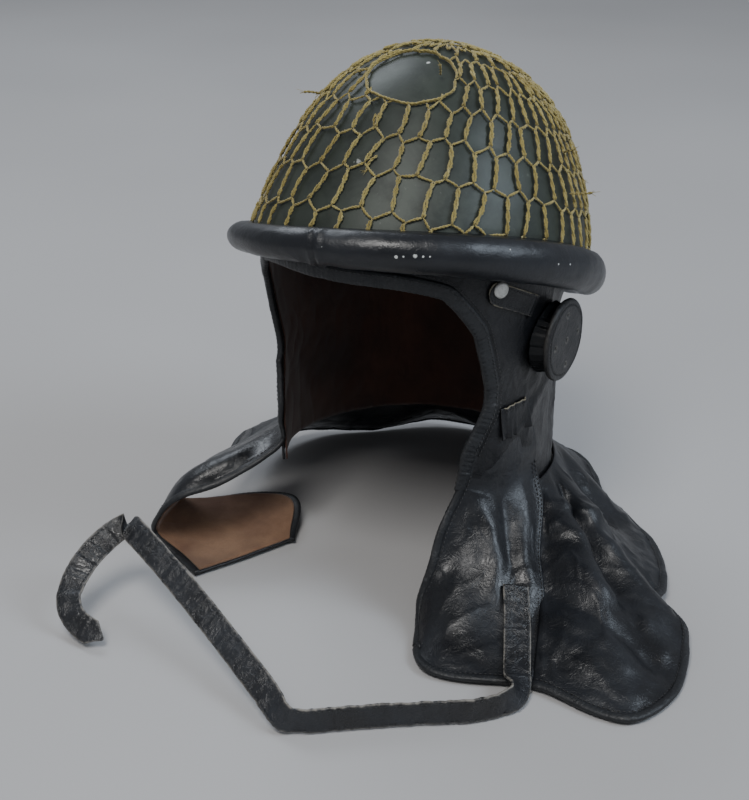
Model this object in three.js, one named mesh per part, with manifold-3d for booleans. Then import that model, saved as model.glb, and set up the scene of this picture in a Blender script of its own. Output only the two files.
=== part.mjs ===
// Paratrooper helmet: a netted steel shell with a padded rim, worn over a leather hood whose cheek
// flaps and neck cape hang below the rim. Millimetres, +Z up. The origin is the middle of the head
// opening at the rim. The face looks along -Y, and the wearer's left is +X. A bearing is an angle
// in degrees from straight ahead, growing towards the wearer's left.
import * as THREE from "three";
import { mergeVertices } from "three/addons/utils/BufferGeometryUtils.js";
import Module from "manifold-3d";

const wasm = await Module();
wasm.setup();

const GAP = 0.3;
const SHELL_WALL = 1.5;
const NET_WALL = 1.4;
const LEATHER = 1.8;
const LINING = 1.2;
const LINING_GAP = 0.7;
const FLAP_LINING_GAP = 0.9;
const PITCH_DEGREES = 17.8;
const FULL_TURN = 360;
// Points closer than this are one point.
const WELD = 1e-5;

const ROLL_RADIUS = 12;
const ROLL_CENTRE = { side: 111, front: 126, back: 133.5 };
const ROLL_FACETS = 13;
const ROLL_HEIGHT = { mean: 11.8, swell: 2.8, towards: 95 };
const SLOT_FLOOR = -2.7;
const SLOT_GAP = 0.5;
const SLOT_TOP = 6;
const SLOT_HALF_ANGLE = 12;
// The rim isn't quite flat: it rises towards the wearer's left temple.
const RIM_LIFT = { mean: 4.5, tilt: 9.5, towards: 65, arch: 3, fades_at: 80 };

const NET_EDGE = 16;
const NET_GAP = 0.6;
const NET_HOLE = { x: 8, y: -62, z: 114, half_x: 28, half_y: 22, half_z: 28 };

const BINDING_RADIUS = 2.9;
const BINDING_POINTS = 30;

const DISC = { x: 105, y: 7, left_z: -37, right_z: -43, radius: 25.5, thick: 4.5 };
const DISC_HOLE_RADIUS = 1.5;
const DISC_HOLE_RING = 17;
const GUSSET_RADIUS = 21;
const GUSSET_WALL = 3;
const GUSSET_BULGE = 1.5;
const GUSSET_FOOT = 0.2;
const FOOT_PASSES = 6;

const STUD_SEAT = 0.4;
const STUD = { bearing: 60, height: 17.5, radius: 5.5, high: 2, rim_high: 0.8, flat_radius: 3.3 };
const STUD_FACETS = 16;
const STRAP_THICK = 2;

const SHELL_STEPS = 32;
const HOOD_STEPS = 30;
const DISC_STEPS = 9;
const GUSSET_STEPS = 20;
const BINDING_STEPS = 44;
const BINDING_SIDES = 6;
const FLAP_MESH = { across: 12, down: 8 };
const ROLLED_MESH = { across: 9, down: 20 };
const CAPE_MESH = { across: 6, down: 48 };

// The steel dome's outer face: half width and reaches, by height above the rim plane.
const SHELL_ROWS = [
  { level: 140, side: 14, front: 15, back: 24 },
  { level: 136, side: 30, front: 31, back: 49 },
  { level: 128, side: 46, front: 48, back: 74 },
  { level: 115, side: 62, front: 65, back: 97 },
  { level: 100, side: 74.5, front: 78.5, back: 112 },
  { level: 80, side: 86, front: 91.5, back: 124 },
  { level: 60, side: 94.5, front: 101, back: 130 },
  { level: 40, side: 101, front: 109.5, back: 133 },
  { level: 20, side: 105.5, front: 117, back: 134 },
  { level: 6, side: 108, front: 121.5, back: 134.5 },
  { level: -2, side: 110, front: 126, back: 135 },
];
const SHELL_TOP = 141.3;

// The hood's outer face: rings that lean with the shell above and are level at the neck.
const HOOD_ROWS = [
  { level: 121, lean: 17.8, side: 26, front: 27, back: 36 },
  { level: 113, lean: 17.8, side: 45, front: 47, back: 64 },
  { level: 100, lean: 17.8, side: 62, front: 66, back: 86 },
  { level: 80, lean: 17.8, side: 77, front: 82, back: 103 },
  { level: 50, lean: 17.8, side: 89, front: 98, back: 115 },
  { level: 22, lean: 17.8, side: 95, front: 109, back: 120.5 },
  { level: 0, lean: 17.8, side: 96.5, front: 114.7, back: 121.2 },
  { level: -20, lean: 13, side: 94.5, front: 110.9, back: 118.6 },
  { level: -40, lean: 6.5, side: 93, front: 105.1, back: 115.8 },
  { level: -60, lean: 0, side: 93, front: 104.5, back: 112 },
  { level: -85, lean: 0, side: 93, front: 100.5, back: 113 },
  { level: -112, lean: 0, side: 93, front: 98, back: 113 },
  { level: -170, lean: 0, side: 95, front: 95, back: 113 },
];
const HOOD_TOP = 124;
// Nothing is sewn to the hood above this level.
const HOOD_SIDE_TOP = 50;
const HALVINGS = 24;
// The hood's lower edge drops from the chin towards the nape.
const HOOD_HEM = { height: -149, slope: 0.11 };

// Half angle of the face opening, in degrees from straight ahead, by height.
const FACE_ROWS = [
  { height: 27.5, half: 4 },
  { height: 26, half: 21 },
  { height: 19, half: 37 },
  { height: 12, half: 43 },
  { height: -7, half: 53 },
  { height: -18, half: 57 },
  { height: -41, half: 61 },
  { height: -66, half: 61 },
  { height: -87, half: 57 },
  { height: -103, half: 52 },
  { height: -117, half: 49 },
  { height: -132, half: 46 },
  { height: -145, half: 44 },
];

// Where each sheet is sewn to the hood: its height and its first and last bearing.
const FLAP_SEAT = { height: -131, front: 46, middle: 66, rear: 90 };
const CAPE_OVERLAP = 6;
const SEAM_MARGIN = 0.8;
const FLAP_MARGIN = 1.3;

// The left cheek flap: a row for each section, from its front edge to its rear seam.
const LEFT_FLAP_ROWS = [
  { level: -150, front_x: 67, front_y: -82, middle_x: 92, middle_y: -56, rear_x: 108, rear_y: -12 },
  { level: -170, front_x: 66, front_y: -92, middle_x: 99, middle_y: -78, rear_x: 122, rear_y: -42 },
  { level: -190, front_x: 63, front_y: -99, middle_x: 99, middle_y: -114, rear_x: 143, rear_y: -77 },
  { level: -206, front_x: 63, front_y: -106, middle_x: 99, middle_y: -149, rear_x: 160, rear_y: -129 },
];

// The right cheek flap flares out and rolls under. A row for each fold line: its ends and middle.
const RIGHT_FLAP_ROWS = [
  { front: [-93, -103, -150], middle: [-98, -84, -138], rear: [-117, -38, -150] },
  { front: [-117, -126, -160], middle: [-120, -108, -151], rear: [-137, -60, -164] },
  { front: [-133, -130, -178], middle: [-139, -112, -177], rear: [-151, -70, -183] },
  { front: [-141, -125, -196], middle: [-146, -108, -197], rear: [-155, -70, -199] },
  { front: [-120, -128, -206], middle: [-108, -86, -206], rear: [-88, -30, -194] },
  { front: [-93, -139, -206], middle: [-77, -105, -206], rear: [-61, -66, -205] },
];

// The neck cape: a row for each fold, from the left rear seam round the back to the right one.
const CAPE_ROWS = [
  { seat: 94, bend: 70.5, bend_reach: 137, bend_level: -174, hem: 53, hem_reach: 214, hem_level: -206 },
  { seat: 97, bend: 72, bend_reach: 156, bend_level: -172, hem: 57.4, hem_reach: 246, hem_level: -206 },
  { seat: 102, bend: 77, bend_reach: 162, bend_level: -170, hem: 61.5, hem_reach: 260, hem_level: -206 },
  { seat: 107, bend: 83, bend_reach: 152, bend_level: -180, hem: 70.5, hem_reach: 252, hem_level: -206 },
  { seat: 112, bend: 89, bend_reach: 150, bend_level: -168, hem: 82, hem_reach: 224, hem_level: -201 },
  { seat: 117, bend: 95, bend_reach: 143, bend_level: -168, hem: 87, hem_reach: 194, hem_level: -200 },
  { seat: 121, bend: 101, bend_reach: 136, bend_level: -174, hem: 93, hem_reach: 192, hem_level: -202 },
  { seat: 130, bend: 113, bend_reach: 128, bend_level: -182, hem: 108, hem_reach: 178, hem_level: -204 },
  { seat: 140, bend: 126, bend_reach: 132, bend_level: -176, hem: 120, hem_reach: 160, hem_level: -203 },
  { seat: 152, bend: 142, bend_reach: 124, bend_level: -184, hem: 137, hem_reach: 152, hem_level: -206 },
  { seat: 166, bend: 160, bend_reach: 134, bend_level: -178, hem: 158, hem_reach: 168, hem_level: -203 },
  { seat: 180, bend: 180, bend_reach: 127, bend_level: -184, hem: 180, hem_reach: 165, hem_level: -206 },
  { seat: 194, bend: 200, bend_reach: 134, bend_level: -178, hem: 202, hem_reach: 168, hem_level: -203 },
  { seat: 208, bend: 218, bend_reach: 124, bend_level: -182, hem: 223, hem_reach: 158, hem_level: -206 },
  { seat: 222, bend: 233, bend_reach: 128, bend_level: -176, hem: 239, hem_reach: 166, hem_level: -202 },
  { seat: 236, bend: 247, bend_reach: 128, bend_level: -172, hem: 254, hem_reach: 164, hem_level: -194 },
  { seat: 250, bend: 265, bend_reach: 130, bend_level: -158, hem: 271, hem_reach: 152, hem_level: -172 },
  { seat: 264, bend: 283, bend_reach: 131, bend_level: -160, hem: 288, hem_reach: 146, hem_level: -176 },
];

// The tie strap's middle line past the flap's hem, with its width's direction: a row for each bend.
const STRAP_ROWS = [
  { at: [160, -151, -199], wide: [0.35, 0.2, -0.9] },
  { at: [147, -174, -199], wide: [0, 0.05, -1] },
  { at: [122, -193, -199], wide: [0, 0.05, -1] },
  { at: [88, -219, -199], wide: [0, 0, -1] },
  { at: [64, -238, -199], wide: [0, 0, -1] },
  { at: [54, -241, -198], wide: [-0.3, -0.35, -0.85] },
  { at: [34, -232, -193], wide: [-0.5, -0.6, -0.6] },
  { at: [-46, -199, -174], wide: [-0.5, -0.62, -0.58] },
  { at: [-108, -178, -158], wide: [-0.5, -0.6, -0.6] },
  { at: [-119, -175, -157], wide: [-0.8, -0.3, -0.1] },
  { at: [-129, -190, -166], wide: [-0.79, -0.24, 0.45] },
  { at: [-131, -212, -178], wide: [-0.8, -0.4, 0.1] },
  { at: [-126, -228, -189], wide: [-0.6, -0.6, -0.45] },
  { at: [-114, -234, -197], wide: [-0.32, -0.61, -0.72] },
  { at: [-91, -236, -201], wide: [-0.3, -0.75, -0.5] },
];
// The strap's sewn end on the left flap, as shares across and down the flap.
const STRAP_SEAM = { across_top: 0.8, across_bottom: 0.92, top: 0.62, bottom: 0.96, rows: 4 };
const SIDE_STEP = 0.02;
const STRAP_HALF_WIDTH = 8.5;
const STRAP_STEPS = 50;

// The small sewn patches on the hood: bearings and heights of their corners.
const TEMPLE_STRAP = { from: 55, from_height: 15, to: 80, to_height: -10, half_width: 8, thick: 1.2 };
// The rim sits lower over the right temple, and so do that side's strap and stud.
const RIGHT_DROP = 20;
const KEEPER_TAB = { from: 66, from_height: -85, to: 84, to_height: -85, half_width: 12, thick: 1.2 };

const LOOKS = {
  steel: { color: 0x2f3530, roughness: 0.5, metalness: 0.2 },
  net: { color: 0x6f6432, roughness: 0.95, metalness: 0 },
  leather: { color: 0x15171b, roughness: 0.42, metalness: 0 },
  red_lining: { color: 0x4a2318, roughness: 0.85, metalness: 0 },
  tan_lining: { color: 0x8a6a48, roughness: 0.85, metalness: 0 },
  stud: { color: 0xaeb0aa, roughness: 0.35, metalness: 0.9 },
};

const radians = THREE.MathUtils.degToRad;
const vector = (x, y, z) => new THREE.Vector3(x, y, z);

const helmet = new THREE.Group();
const leaning = new THREE.Group();
leaning.rotation.x = -radians(PITCH_DEGREES);
helmet.add(leaning);

function add(parent, name, geometry, look) {
  const mesh = new THREE.Mesh(geometry, new THREE.MeshStandardMaterial(LOOKS[look]));
  mesh.name = name;
  parent.add(mesh);
  return mesh;
}

// A closed body through rings of equal length. The ends close onto a tip, across a thin section,
// or onto each other.
function loft(rings, start, end) {
  const points = rings.flat();
  const count = rings[0].length;
  const faces = [];
  const looped = start === "loop";
  const spans = looped ? rings.length : rings.length - 1;
  for (let ring = 0; ring < spans; ring += 1) {
    const here = ring * count;
    const next = ((ring + 1) % rings.length) * count;
    for (let step = 0; step < count; step += 1) {
      const after = (step + 1) % count;
      faces.push(here + step, here + after, next + after);
      faces.push(here + step, next + after, next + step);
    }
  }
  const close = (first, how, flip) => {
    const triangle = (a, b, c) => (flip ? faces.push(a, c, b) : faces.push(a, b, c));
    if (how === "strip") {
      for (let step = 0; step < count / 2 - 1; step += 1) {
        const far = count - 1 - step;
        triangle(first + step, first + far, first + step + 1);
        triangle(first + step + 1, first + far, first + far - 1);
      }
      return;
    }
    const tip = points.push(how) - 1;
    for (let step = 0; step < count; step += 1) {
      triangle(tip, first + ((step + 1) % count), first + step);
    }
  };
  if (!looped) {
    close(0, start, false);
    close((rings.length - 1) * count, end, true);
  }
  return outward(points, faces);
}

// Puts the triangles into a geometry whose faces point out.
function outward(points, faces) {
  let volume = 0;
  for (let face = 0; face < faces.length; face += 3) {
    const [a, b, c] = [points[faces[face]], points[faces[face + 1]], points[faces[face + 2]]];
    volume += a.dot(b.clone().cross(c));
  }
  const geometry = new THREE.BufferGeometry();
  const numbers = points.flatMap((point) => point.toArray());
  geometry.setAttribute("position", new THREE.Float32BufferAttribute(numbers, 3));
  geometry.setIndex(volume < 0 ? faces.slice().reverse() : faces);
  geometry.computeVertexNormals();
  return geometry;
}

function toSolid(geometry) {
  const bare = geometry.clone();
  bare.deleteAttribute("normal");
  bare.deleteAttribute("uv");
  const merged = mergeVertices(bare, WELD);
  const vertProperties = new Float32Array(merged.attributes.position.array);
  const triVerts = new Uint32Array(merged.index.array);
  return new wasm.Manifold(new wasm.Mesh({ numProp: 3, vertProperties, triVerts }));
}

function fromSolid(solid) {
  const mesh = solid.getMesh();
  const geometry = new THREE.BufferGeometry();
  geometry.setAttribute("position", new THREE.Float32BufferAttribute(mesh.vertProperties, 3));
  geometry.setIndex(Array.from(mesh.triVerts));
  geometry.computeVertexNormals();
  return geometry;
}

const cut = (geometry, cutter) => fromSolid(toSolid(geometry).subtract(toSolid(cutter)));

// Drops the thin offcuts that a cut can leave beside the main body.
function largest(geometry) {
  const bodies = toSolid(geometry).decompose();
  return fromSolid(bodies.reduce((best, body) => (body.volume() > best.volume() ? body : best)));
}

// A table's columns at any value of its key, on straight lines between rows.
function between(rows, key, value) {
  const falling = rows[0][key] > rows[rows.length - 1][key];
  const sorted = falling ? rows.slice().reverse() : rows;
  let upper = sorted.findIndex((row) => row[key] >= value);
  if (upper < 0) upper = sorted.length - 1;
  upper = Math.max(upper, 1);
  const [low, high] = [sorted[upper - 1], sorted[upper]];
  const share = THREE.MathUtils.clamp((value - low[key]) / (high[key] - low[key]), 0, 1);
  const names = Object.keys(low);
  return Object.fromEntries(names.map((name) => [name, THREE.MathUtils.lerp(low[name], high[name], share)]));
}

// Distance from the axis to an oval, grown by a margin, at a bearing.
function reach(row, bearing, margin = 0) {
  const angle = radians(bearing);
  const length = Math.cos(angle) > 0 ? row.front : row.back;
  return 1 / Math.hypot(Math.sin(angle) / (row.side + margin), Math.cos(angle) / (length + margin));
}

function around(distance, bearing, height) {
  const angle = radians(bearing);
  return vector(distance * Math.sin(angle), -distance * Math.cos(angle), height);
}

const bearings = (steps) => Array.from({ length: steps }, (_, step) => (FULL_TURN * step) / steps);

// How far the rim rises at a bearing, and how much of that a higher ring still has.
function rimLift(bearing) {
  const turn = radians(bearing - RIM_LIFT.towards);
  return RIM_LIFT.mean + RIM_LIFT.tilt * Math.cos(turn) + RIM_LIFT.arch * Math.cos(2 * turn);
}
function rimFade(level) {
  return THREE.MathUtils.clamp((RIM_LIFT.fades_at - level) / (RIM_LIFT.fades_at - NET_EDGE), 0, 1);
}

// How far a margin lifts a ring: not at all at the rim, and by the whole margin at the crown.
const lifted = (level, margin, top) => level + margin * (Math.max(level, 0) / top) ** 2;

function shellRing(row, margin, steps) {
  const level = lifted(row.level, margin, SHELL_TOP);
  return bearings(steps).map((bearing) => {
    const raised = level + rimLift(bearing) * rimFade(row.level);
    return around(reach(row, bearing, margin), bearing, raised);
  });
}

// A bowl between an outer and an inner margin from the same rows, closed at the rim.
function shellBowl(rows, outer, inner, top, steps) {
  const outside = rows.map((row) => shellRing(row, outer, steps));
  const inside = rows.map((row) => shellRing(row, inner, steps)).reverse();
  return loft([...outside, ...inside], vector(0, 0, top + outer), vector(0, 0, top + inner));
}

add(leaning, "steel_shell", shellBowl(SHELL_ROWS, 0, -SHELL_WALL, SHELL_TOP, SHELL_STEPS), "steel");

function makeNet() {
  const rows = SHELL_ROWS.filter((row) => row.level > NET_EDGE);
  rows.push(between(SHELL_ROWS, "level", NET_EDGE));
  const skin = shellBowl(rows, NET_GAP + NET_WALL, NET_GAP, SHELL_TOP, SHELL_STEPS);
  const hole = new THREE.SphereGeometry(1, 14, 10);
  hole.scale(NET_HOLE.half_x, NET_HOLE.half_y, NET_HOLE.half_z);
  hole.translate(NET_HOLE.x, NET_HOLE.y, NET_HOLE.z);
  return cut(skin, hole);
}
add(leaning, "camouflage_net", makeNet(), "net");

// The padded roll: a rounded section with a slot that takes the shell's edge.
function makeRoll() {
  const rings = bearings(SHELL_STEPS).map((bearing) => {
    const centre = reach(ROLL_CENTRE, bearing);
    const turn = radians(bearing - ROLL_HEIGHT.towards);
    const half = ROLL_HEIGHT.mean + ROLL_HEIGHT.swell * Math.cos(turn);
    const ring = [];
    for (let facet = 0; facet <= ROLL_FACETS; facet += 1) {
      const sweep = FULL_TURN - 2 * SLOT_HALF_ANGLE;
      const angle = radians(90 - SLOT_HALF_ANGLE - (sweep * facet) / ROLL_FACETS);
      ring.push([centre + ROLL_RADIUS * Math.cos(angle), half * Math.sin(angle)]);
    }
    const wall = (level, margin) => reach(between(SHELL_ROWS, "level", level), bearing, margin);
    const lip = ring[0][1];
    ring[0][0] = wall(lip, SLOT_GAP) + GAP;
    ring[ROLL_FACETS][0] = wall(lip, -SHELL_WALL - SLOT_GAP) - GAP;
    for (const level of [SLOT_TOP, SLOT_FLOOR]) ring.push([wall(level, -SHELL_WALL - SLOT_GAP), level]);
    for (const level of [SLOT_FLOOR, SLOT_TOP]) ring.push([wall(level, SLOT_GAP), level]);
    return ring.map(([distance, level]) => around(distance, bearing, level + rimLift(bearing)));
  });
  return loft(rings, "loop");
}
add(leaning, "rim_roll", makeRoll(), "leather");

function hoodRing(row, margin, bearing) {
  const lean = radians(row.lean);
  const flat = around(reach(row, bearing, margin), bearing, 0);
  const level = lifted(row.level, margin, HOOD_TOP);
  const y = flat.y * Math.cos(lean) + level * Math.sin(lean);
  const z = -flat.y * Math.sin(lean) + level * Math.cos(lean);
  return vector(flat.x, y, z);
}

// The point of the hood's face at a bearing and height, moved out by a margin.
function hoodAt(bearing, height, margin) {
  let low = HOOD_ROWS[HOOD_ROWS.length - 1].level;
  let high = HOOD_SIDE_TOP;
  for (let halving = 0; halving < HALVINGS; halving += 1) {
    const middle = (low + high) / 2;
    if (hoodRing(between(HOOD_ROWS, "level", middle), margin, bearing).z < height) low = middle;
    else high = middle;
  }
  return hoodRing(between(HOOD_ROWS, "level", low), margin, bearing);
}

function hoodBowl(outer, inner, steps) {
  const ring = (row, margin) => bearings(steps).map((bearing) => hoodRing(row, margin, bearing));
  const wall = (margin) => HOOD_ROWS.map((row) => ring(row, margin));
  const lean = radians(PITCH_DEGREES);
  const crown = vector(0, Math.sin(lean), Math.cos(lean));
  const tip = (margin) => crown.clone().multiplyScalar(HOOD_TOP + margin);
  return loft([...wall(outer), ...wall(inner).reverse()], tip(outer), tip(inner));
}

// A wedge from the axis outwards that removes the face opening.
function faceCutter() {
  const [near, far] = [30, 320];
  const rings = FACE_ROWS.map(({ height, half }) => [
    around(near, -half, height),
    around(far, -half, height),
    around(far, half, height),
    around(near, half, height),
  ]);
  return loft(rings, "strip", "strip");
}

// A slanted block that trims the hood's lower edge.
function hemCutter() {
  const [wide, deep] = [300, 80];
  const block = new THREE.BoxGeometry(wide, wide, deep);
  block.translate(0, 0, -deep / 2);
  block.rotateX(-Math.atan(HOOD_HEM.slope));
  return block.translate(0, 0, HOOD_HEM.height);
}

// A round bead just inside the edge of the face opening.
function bindingRoute() {
  const inset = -LEATHER / 2;
  const side = (sign) => FACE_ROWS.map(({ height, half }) => hoodAt(sign * half, height, inset));
  const last = FACE_ROWS.length - 1;
  const trim = (points) => points.slice(0, last);
  const edge = [...trim(side(-1)).reverse(), ...trim(side(1))];
  const along = new THREE.CatmullRomCurve3(edge, false, "centripetal");
  const moved = Array.from({ length: BINDING_POINTS }, (_, step) => {
    const share = step / (BINDING_POINTS - 1);
    const point = along.getPointAt(share);
    const inward = along.getTangentAt(share).cross(vector(point.x, point.y, 0).normalize());
    return point.addScaledVector(inward.normalize(), BINDING_RADIUS + GAP);
  });
  return new THREE.CatmullRomCurve3(moved, false, "centripetal");
}

// A plain round tube along a curve, closed at both ends.
function tube(route, radius, steps, sides) {
  const section = new THREE.Shape();
  for (let side = 0; side < sides; side += 1) {
    const angle = (2 * Math.PI * side) / sides;
    const [x, y] = [radius * Math.cos(angle), radius * Math.sin(angle)];
    if (side === 0) section.moveTo(x, y);
    else section.lineTo(x, y);
  }
  section.closePath();
  return new THREE.ExtrudeGeometry(section, { steps, extrudePath: route, bevelEnabled: false });
}

const edgeRoute = bindingRoute();
const bindingTube = (radius) => tube(edgeRoute, radius, BINDING_STEPS, BINDING_SIDES);
add(helmet, "face_binding", bindingTube(BINDING_RADIUS), "leather");

// A hood wall with its face opening, its slanted lower edge and a seat for the binding.
const bindingSeat = bindingTube(BINDING_RADIUS + GAP);
const openHood = (bowl) => largest(cut(cut(cut(bowl, faceCutter()), hemCutter()), bindingSeat));
const liningOuter = -LEATHER - LINING_GAP;
add(helmet, "leather_hood", openHood(hoodBowl(0, -LEATHER, HOOD_STEPS)), "leather");
add(helmet, "hood_lining", openHood(hoodBowl(liningOuter, liningOuter - LINING, HOOD_STEPS)), "red_lining");

const TENSION = 0.5;
const smooth = (points) => new THREE.CatmullRomCurve3(points, false, "catmullrom", TENSION);

// The line down a sheet at a share of its width, through rows of control points.
const lineDown = (control, across) => smooth(control.map((row) => smooth(row).getPoint(across)));

function patch(control, { across, down }) {
  return Array.from({ length: across + 1 }, (_, column) => {
    const line = lineDown(control, column / across);
    return Array.from({ length: down + 1 }, (_, step) => line.getPoint(step / down));
  });
}

// A sheet of even thickness, whose middle may lie off the grid along its normal.
function sheet(grid, thickness, offset = 0) {
  const last = grid.length - 1;
  const end = grid[0].length - 1;
  const rings = grid.map((line, column) => {
    const faces = line.map((point, step) => {
      const across = grid[Math.min(column + 1, last)][step].clone().sub(grid[Math.max(column - 1, 0)][step]);
      const down = line[Math.min(step + 1, end)].clone().sub(line[Math.max(step - 1, 0)]);
      const normal = across.cross(down).normalize();
      return [
        point.clone().addScaledVector(normal, offset + thickness / 2),
        point.clone().addScaledVector(normal, offset - thickness / 2),
      ];
    });
    return [...faces.map(([front]) => front), ...faces.map(([, back]) => back).reverse()];
  });
  return loft(rings, "strip", "strip");
}

const SEWN = SEAM_MARGIN + LEATHER / 2;

function flapSeat(side) {
  const margin = FLAP_MARGIN + LEATHER / 2;
  const ends = [FLAP_SEAT.front, FLAP_SEAT.middle, FLAP_SEAT.rear];
  return ends.map((bearing) => hoodAt(side * bearing, FLAP_SEAT.height, margin));
}

function leftFlap() {
  const seat = flapSeat(1);
  const rows = LEFT_FLAP_ROWS.map((row) => [
    vector(row.front_x, row.front_y, row.level),
    vector(row.middle_x, row.middle_y, row.level),
    vector(row.rear_x, row.rear_y, row.level),
  ]);
  return [seat, ...rows];
}
add(helmet, "left_cheek_flap", sheet(patch(leftFlap(), FLAP_MESH), LEATHER), "leather");

function rightFlapRows() {
  const seat = flapSeat(-1);
  const rows = RIGHT_FLAP_ROWS.map((row) => [row.front, row.middle, row.rear].map((at) => vector(...at)));
  return [seat, ...rows];
}
const rightGrid = patch(rightFlapRows(), ROLLED_MESH);
const liningGrid = rightGrid.slice(1, -1).map((line) => line.slice(1, -1));
const liningInset = -(LEATHER + LINING) / 2 - FLAP_LINING_GAP;
add(helmet, "right_cheek_flap", sheet(rightGrid, LEATHER), "leather");
add(helmet, "right_flap_lining", sheet(liningGrid, LINING, liningInset), "tan_lining");

function makeCape() {
  const lines = CAPE_ROWS.map((row) => {
    const nape = -hoodAt(row.seat, HOOD_HEM.height, 0).y;
    return [
      hoodAt(row.seat, HOOD_HEM.height + HOOD_HEM.slope * nape + CAPE_OVERLAP, SEWN),
      around(row.bend_reach, row.bend, row.bend_level),
      around(row.hem_reach, row.hem, row.hem_level),
    ];
  });
  return sheet(patch(lines, CAPE_MESH), LEATHER);
}
add(helmet, "neck_cape", makeCape(), "leather");

const discHeight = (side) => (side > 0 ? DISC.left_z : DISC.right_z);

function makeDisc(side) {
  const face = new THREE.Shape();
  face.absarc(0, 0, DISC.radius, 0, 2 * Math.PI);
  const ring = DISC_HOLE_RING;
  const centres = [[0, 0], [ring, 0], [-ring, 0], [0, ring], [0, -ring]];
  for (const [x, y] of centres) {
    const hole = new THREE.Path();
    hole.absarc(x, y, DISC_HOLE_RADIUS, 0, 2 * Math.PI, true);
    face.holes.push(hole);
  }
  const settings = { depth: DISC.thick, bevelEnabled: false, curveSegments: DISC_STEPS };
  const disc = new THREE.ExtrudeGeometry(face, settings);
  const mesh = add(helmet, `ear_disc_${side > 0 ? "left" : "right"}`, disc, "leather");
  mesh.rotation.y = side * radians(90);
  mesh.position.set(side * DISC.x, DISC.y, discHeight(side));
}

// A short sleeve whose foot follows the hood and whose head is flat against the disc.
function makeGusset(side) {
  const rings = Array.from({ length: GUSSET_STEPS }, (_, step) => {
    const angle = (2 * Math.PI * step) / GUSSET_STEPS;
    const y = (radius) => DISC.y + radius * Math.cos(angle);
    const z = (radius) => discHeight(side) + radius * Math.sin(angle);
    const at = (radius, x) => vector(side * x, y(radius), z(radius));
    const foot = (radius) => {
      let bearing = 90;
      for (let pass = 0; pass < FOOT_PASSES; pass += 1) {
        const point = hoodAt(bearing, z(radius), GAP);
        bearing += THREE.MathUtils.radToDeg((y(radius) - point.y) / point.x);
      }
      return hoodAt(bearing, z(radius), GAP + GUSSET_FOOT).x;
    };
    const [outer, inner] = [GUSSET_RADIUS + GUSSET_WALL / 2, GUSSET_RADIUS - GUSSET_WALL / 2];
    const head = DISC.x - GAP;
    const waist = at(outer + GUSSET_BULGE, (foot(outer) + head) / 2);
    return [at(outer, foot(outer)), waist, at(outer, head), at(inner, head), at(inner, foot(inner))];
  });
  add(helmet, `ear_gusset_${side > 0 ? "left" : "right"}`, loft(rings, "loop"), "leather");
}

// A flat patch that lies on the hood between two bearings and heights.
function hoodPatch(name, side, size, drop) {
  const steps = 8;
  const seatMargin = 2 * GAP + size.thick / 2;
  const columns = Array.from({ length: steps + 1 }, (_, step) => {
    const share = step / steps;
    const bearing = size.from + (size.to - size.from) * share;
    const height = size.from_height + (size.to_height - size.from_height) * share - drop;
    const spots = [1, 0.5, 0, -0.5, -1].map((edge) => height + edge * size.half_width);
    return spots.map((spot) => hoodAt(side * bearing, spot, seatMargin));
  });
  add(helmet, name, sheet(columns, size.thick), "leather");
}

function makeStud(side, drop) {
  const stud = new THREE.LatheGeometry(
    [
      [0, 0],
      [STUD.radius, 0],
      [STUD.radius, STUD.rim_high],
      [STUD.flat_radius, STUD.high],
      [0, STUD.high],
    ].map(([x, y]) => new THREE.Vector2(x, y)),
    STUD_FACETS,
  );
  const margin = 3 * GAP + TEMPLE_STRAP.thick + STUD_SEAT;
  const seat = hoodAt(side * STUD.bearing, STUD.height - drop, margin);
  const ahead = hoodAt(side * (STUD.bearing + 1), STUD.height - drop, margin).sub(
    hoodAt(side * (STUD.bearing - 1), STUD.height - drop, margin),
  );
  const up = hoodAt(side * STUD.bearing, STUD.height - drop + 1, margin).sub(
    hoodAt(side * STUD.bearing, STUD.height - drop - 1, margin),
  );
  const out = ahead.cross(up).multiplyScalar(side).normalize();
  const mesh = add(helmet, `temple_stud_${side > 0 ? "left" : "right"}`, stud, "stud");
  mesh.position.copy(seat);
  mesh.quaternion.setFromUnitVectors(vector(0, 1, 0), out);
}

for (const side of [1, -1]) {
  const hand = side > 0 ? "left" : "right";
  const drop = side > 0 ? 0 : RIGHT_DROP;
  makeDisc(side);
  makeGusset(side);
  hoodPatch(`temple_strap_${hand}`, side, TEMPLE_STRAP, drop);
  makeStud(side, drop);
  hoodPatch(`keeper_tab_${hand}`, side, KEEPER_TAB, 0);
}

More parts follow.
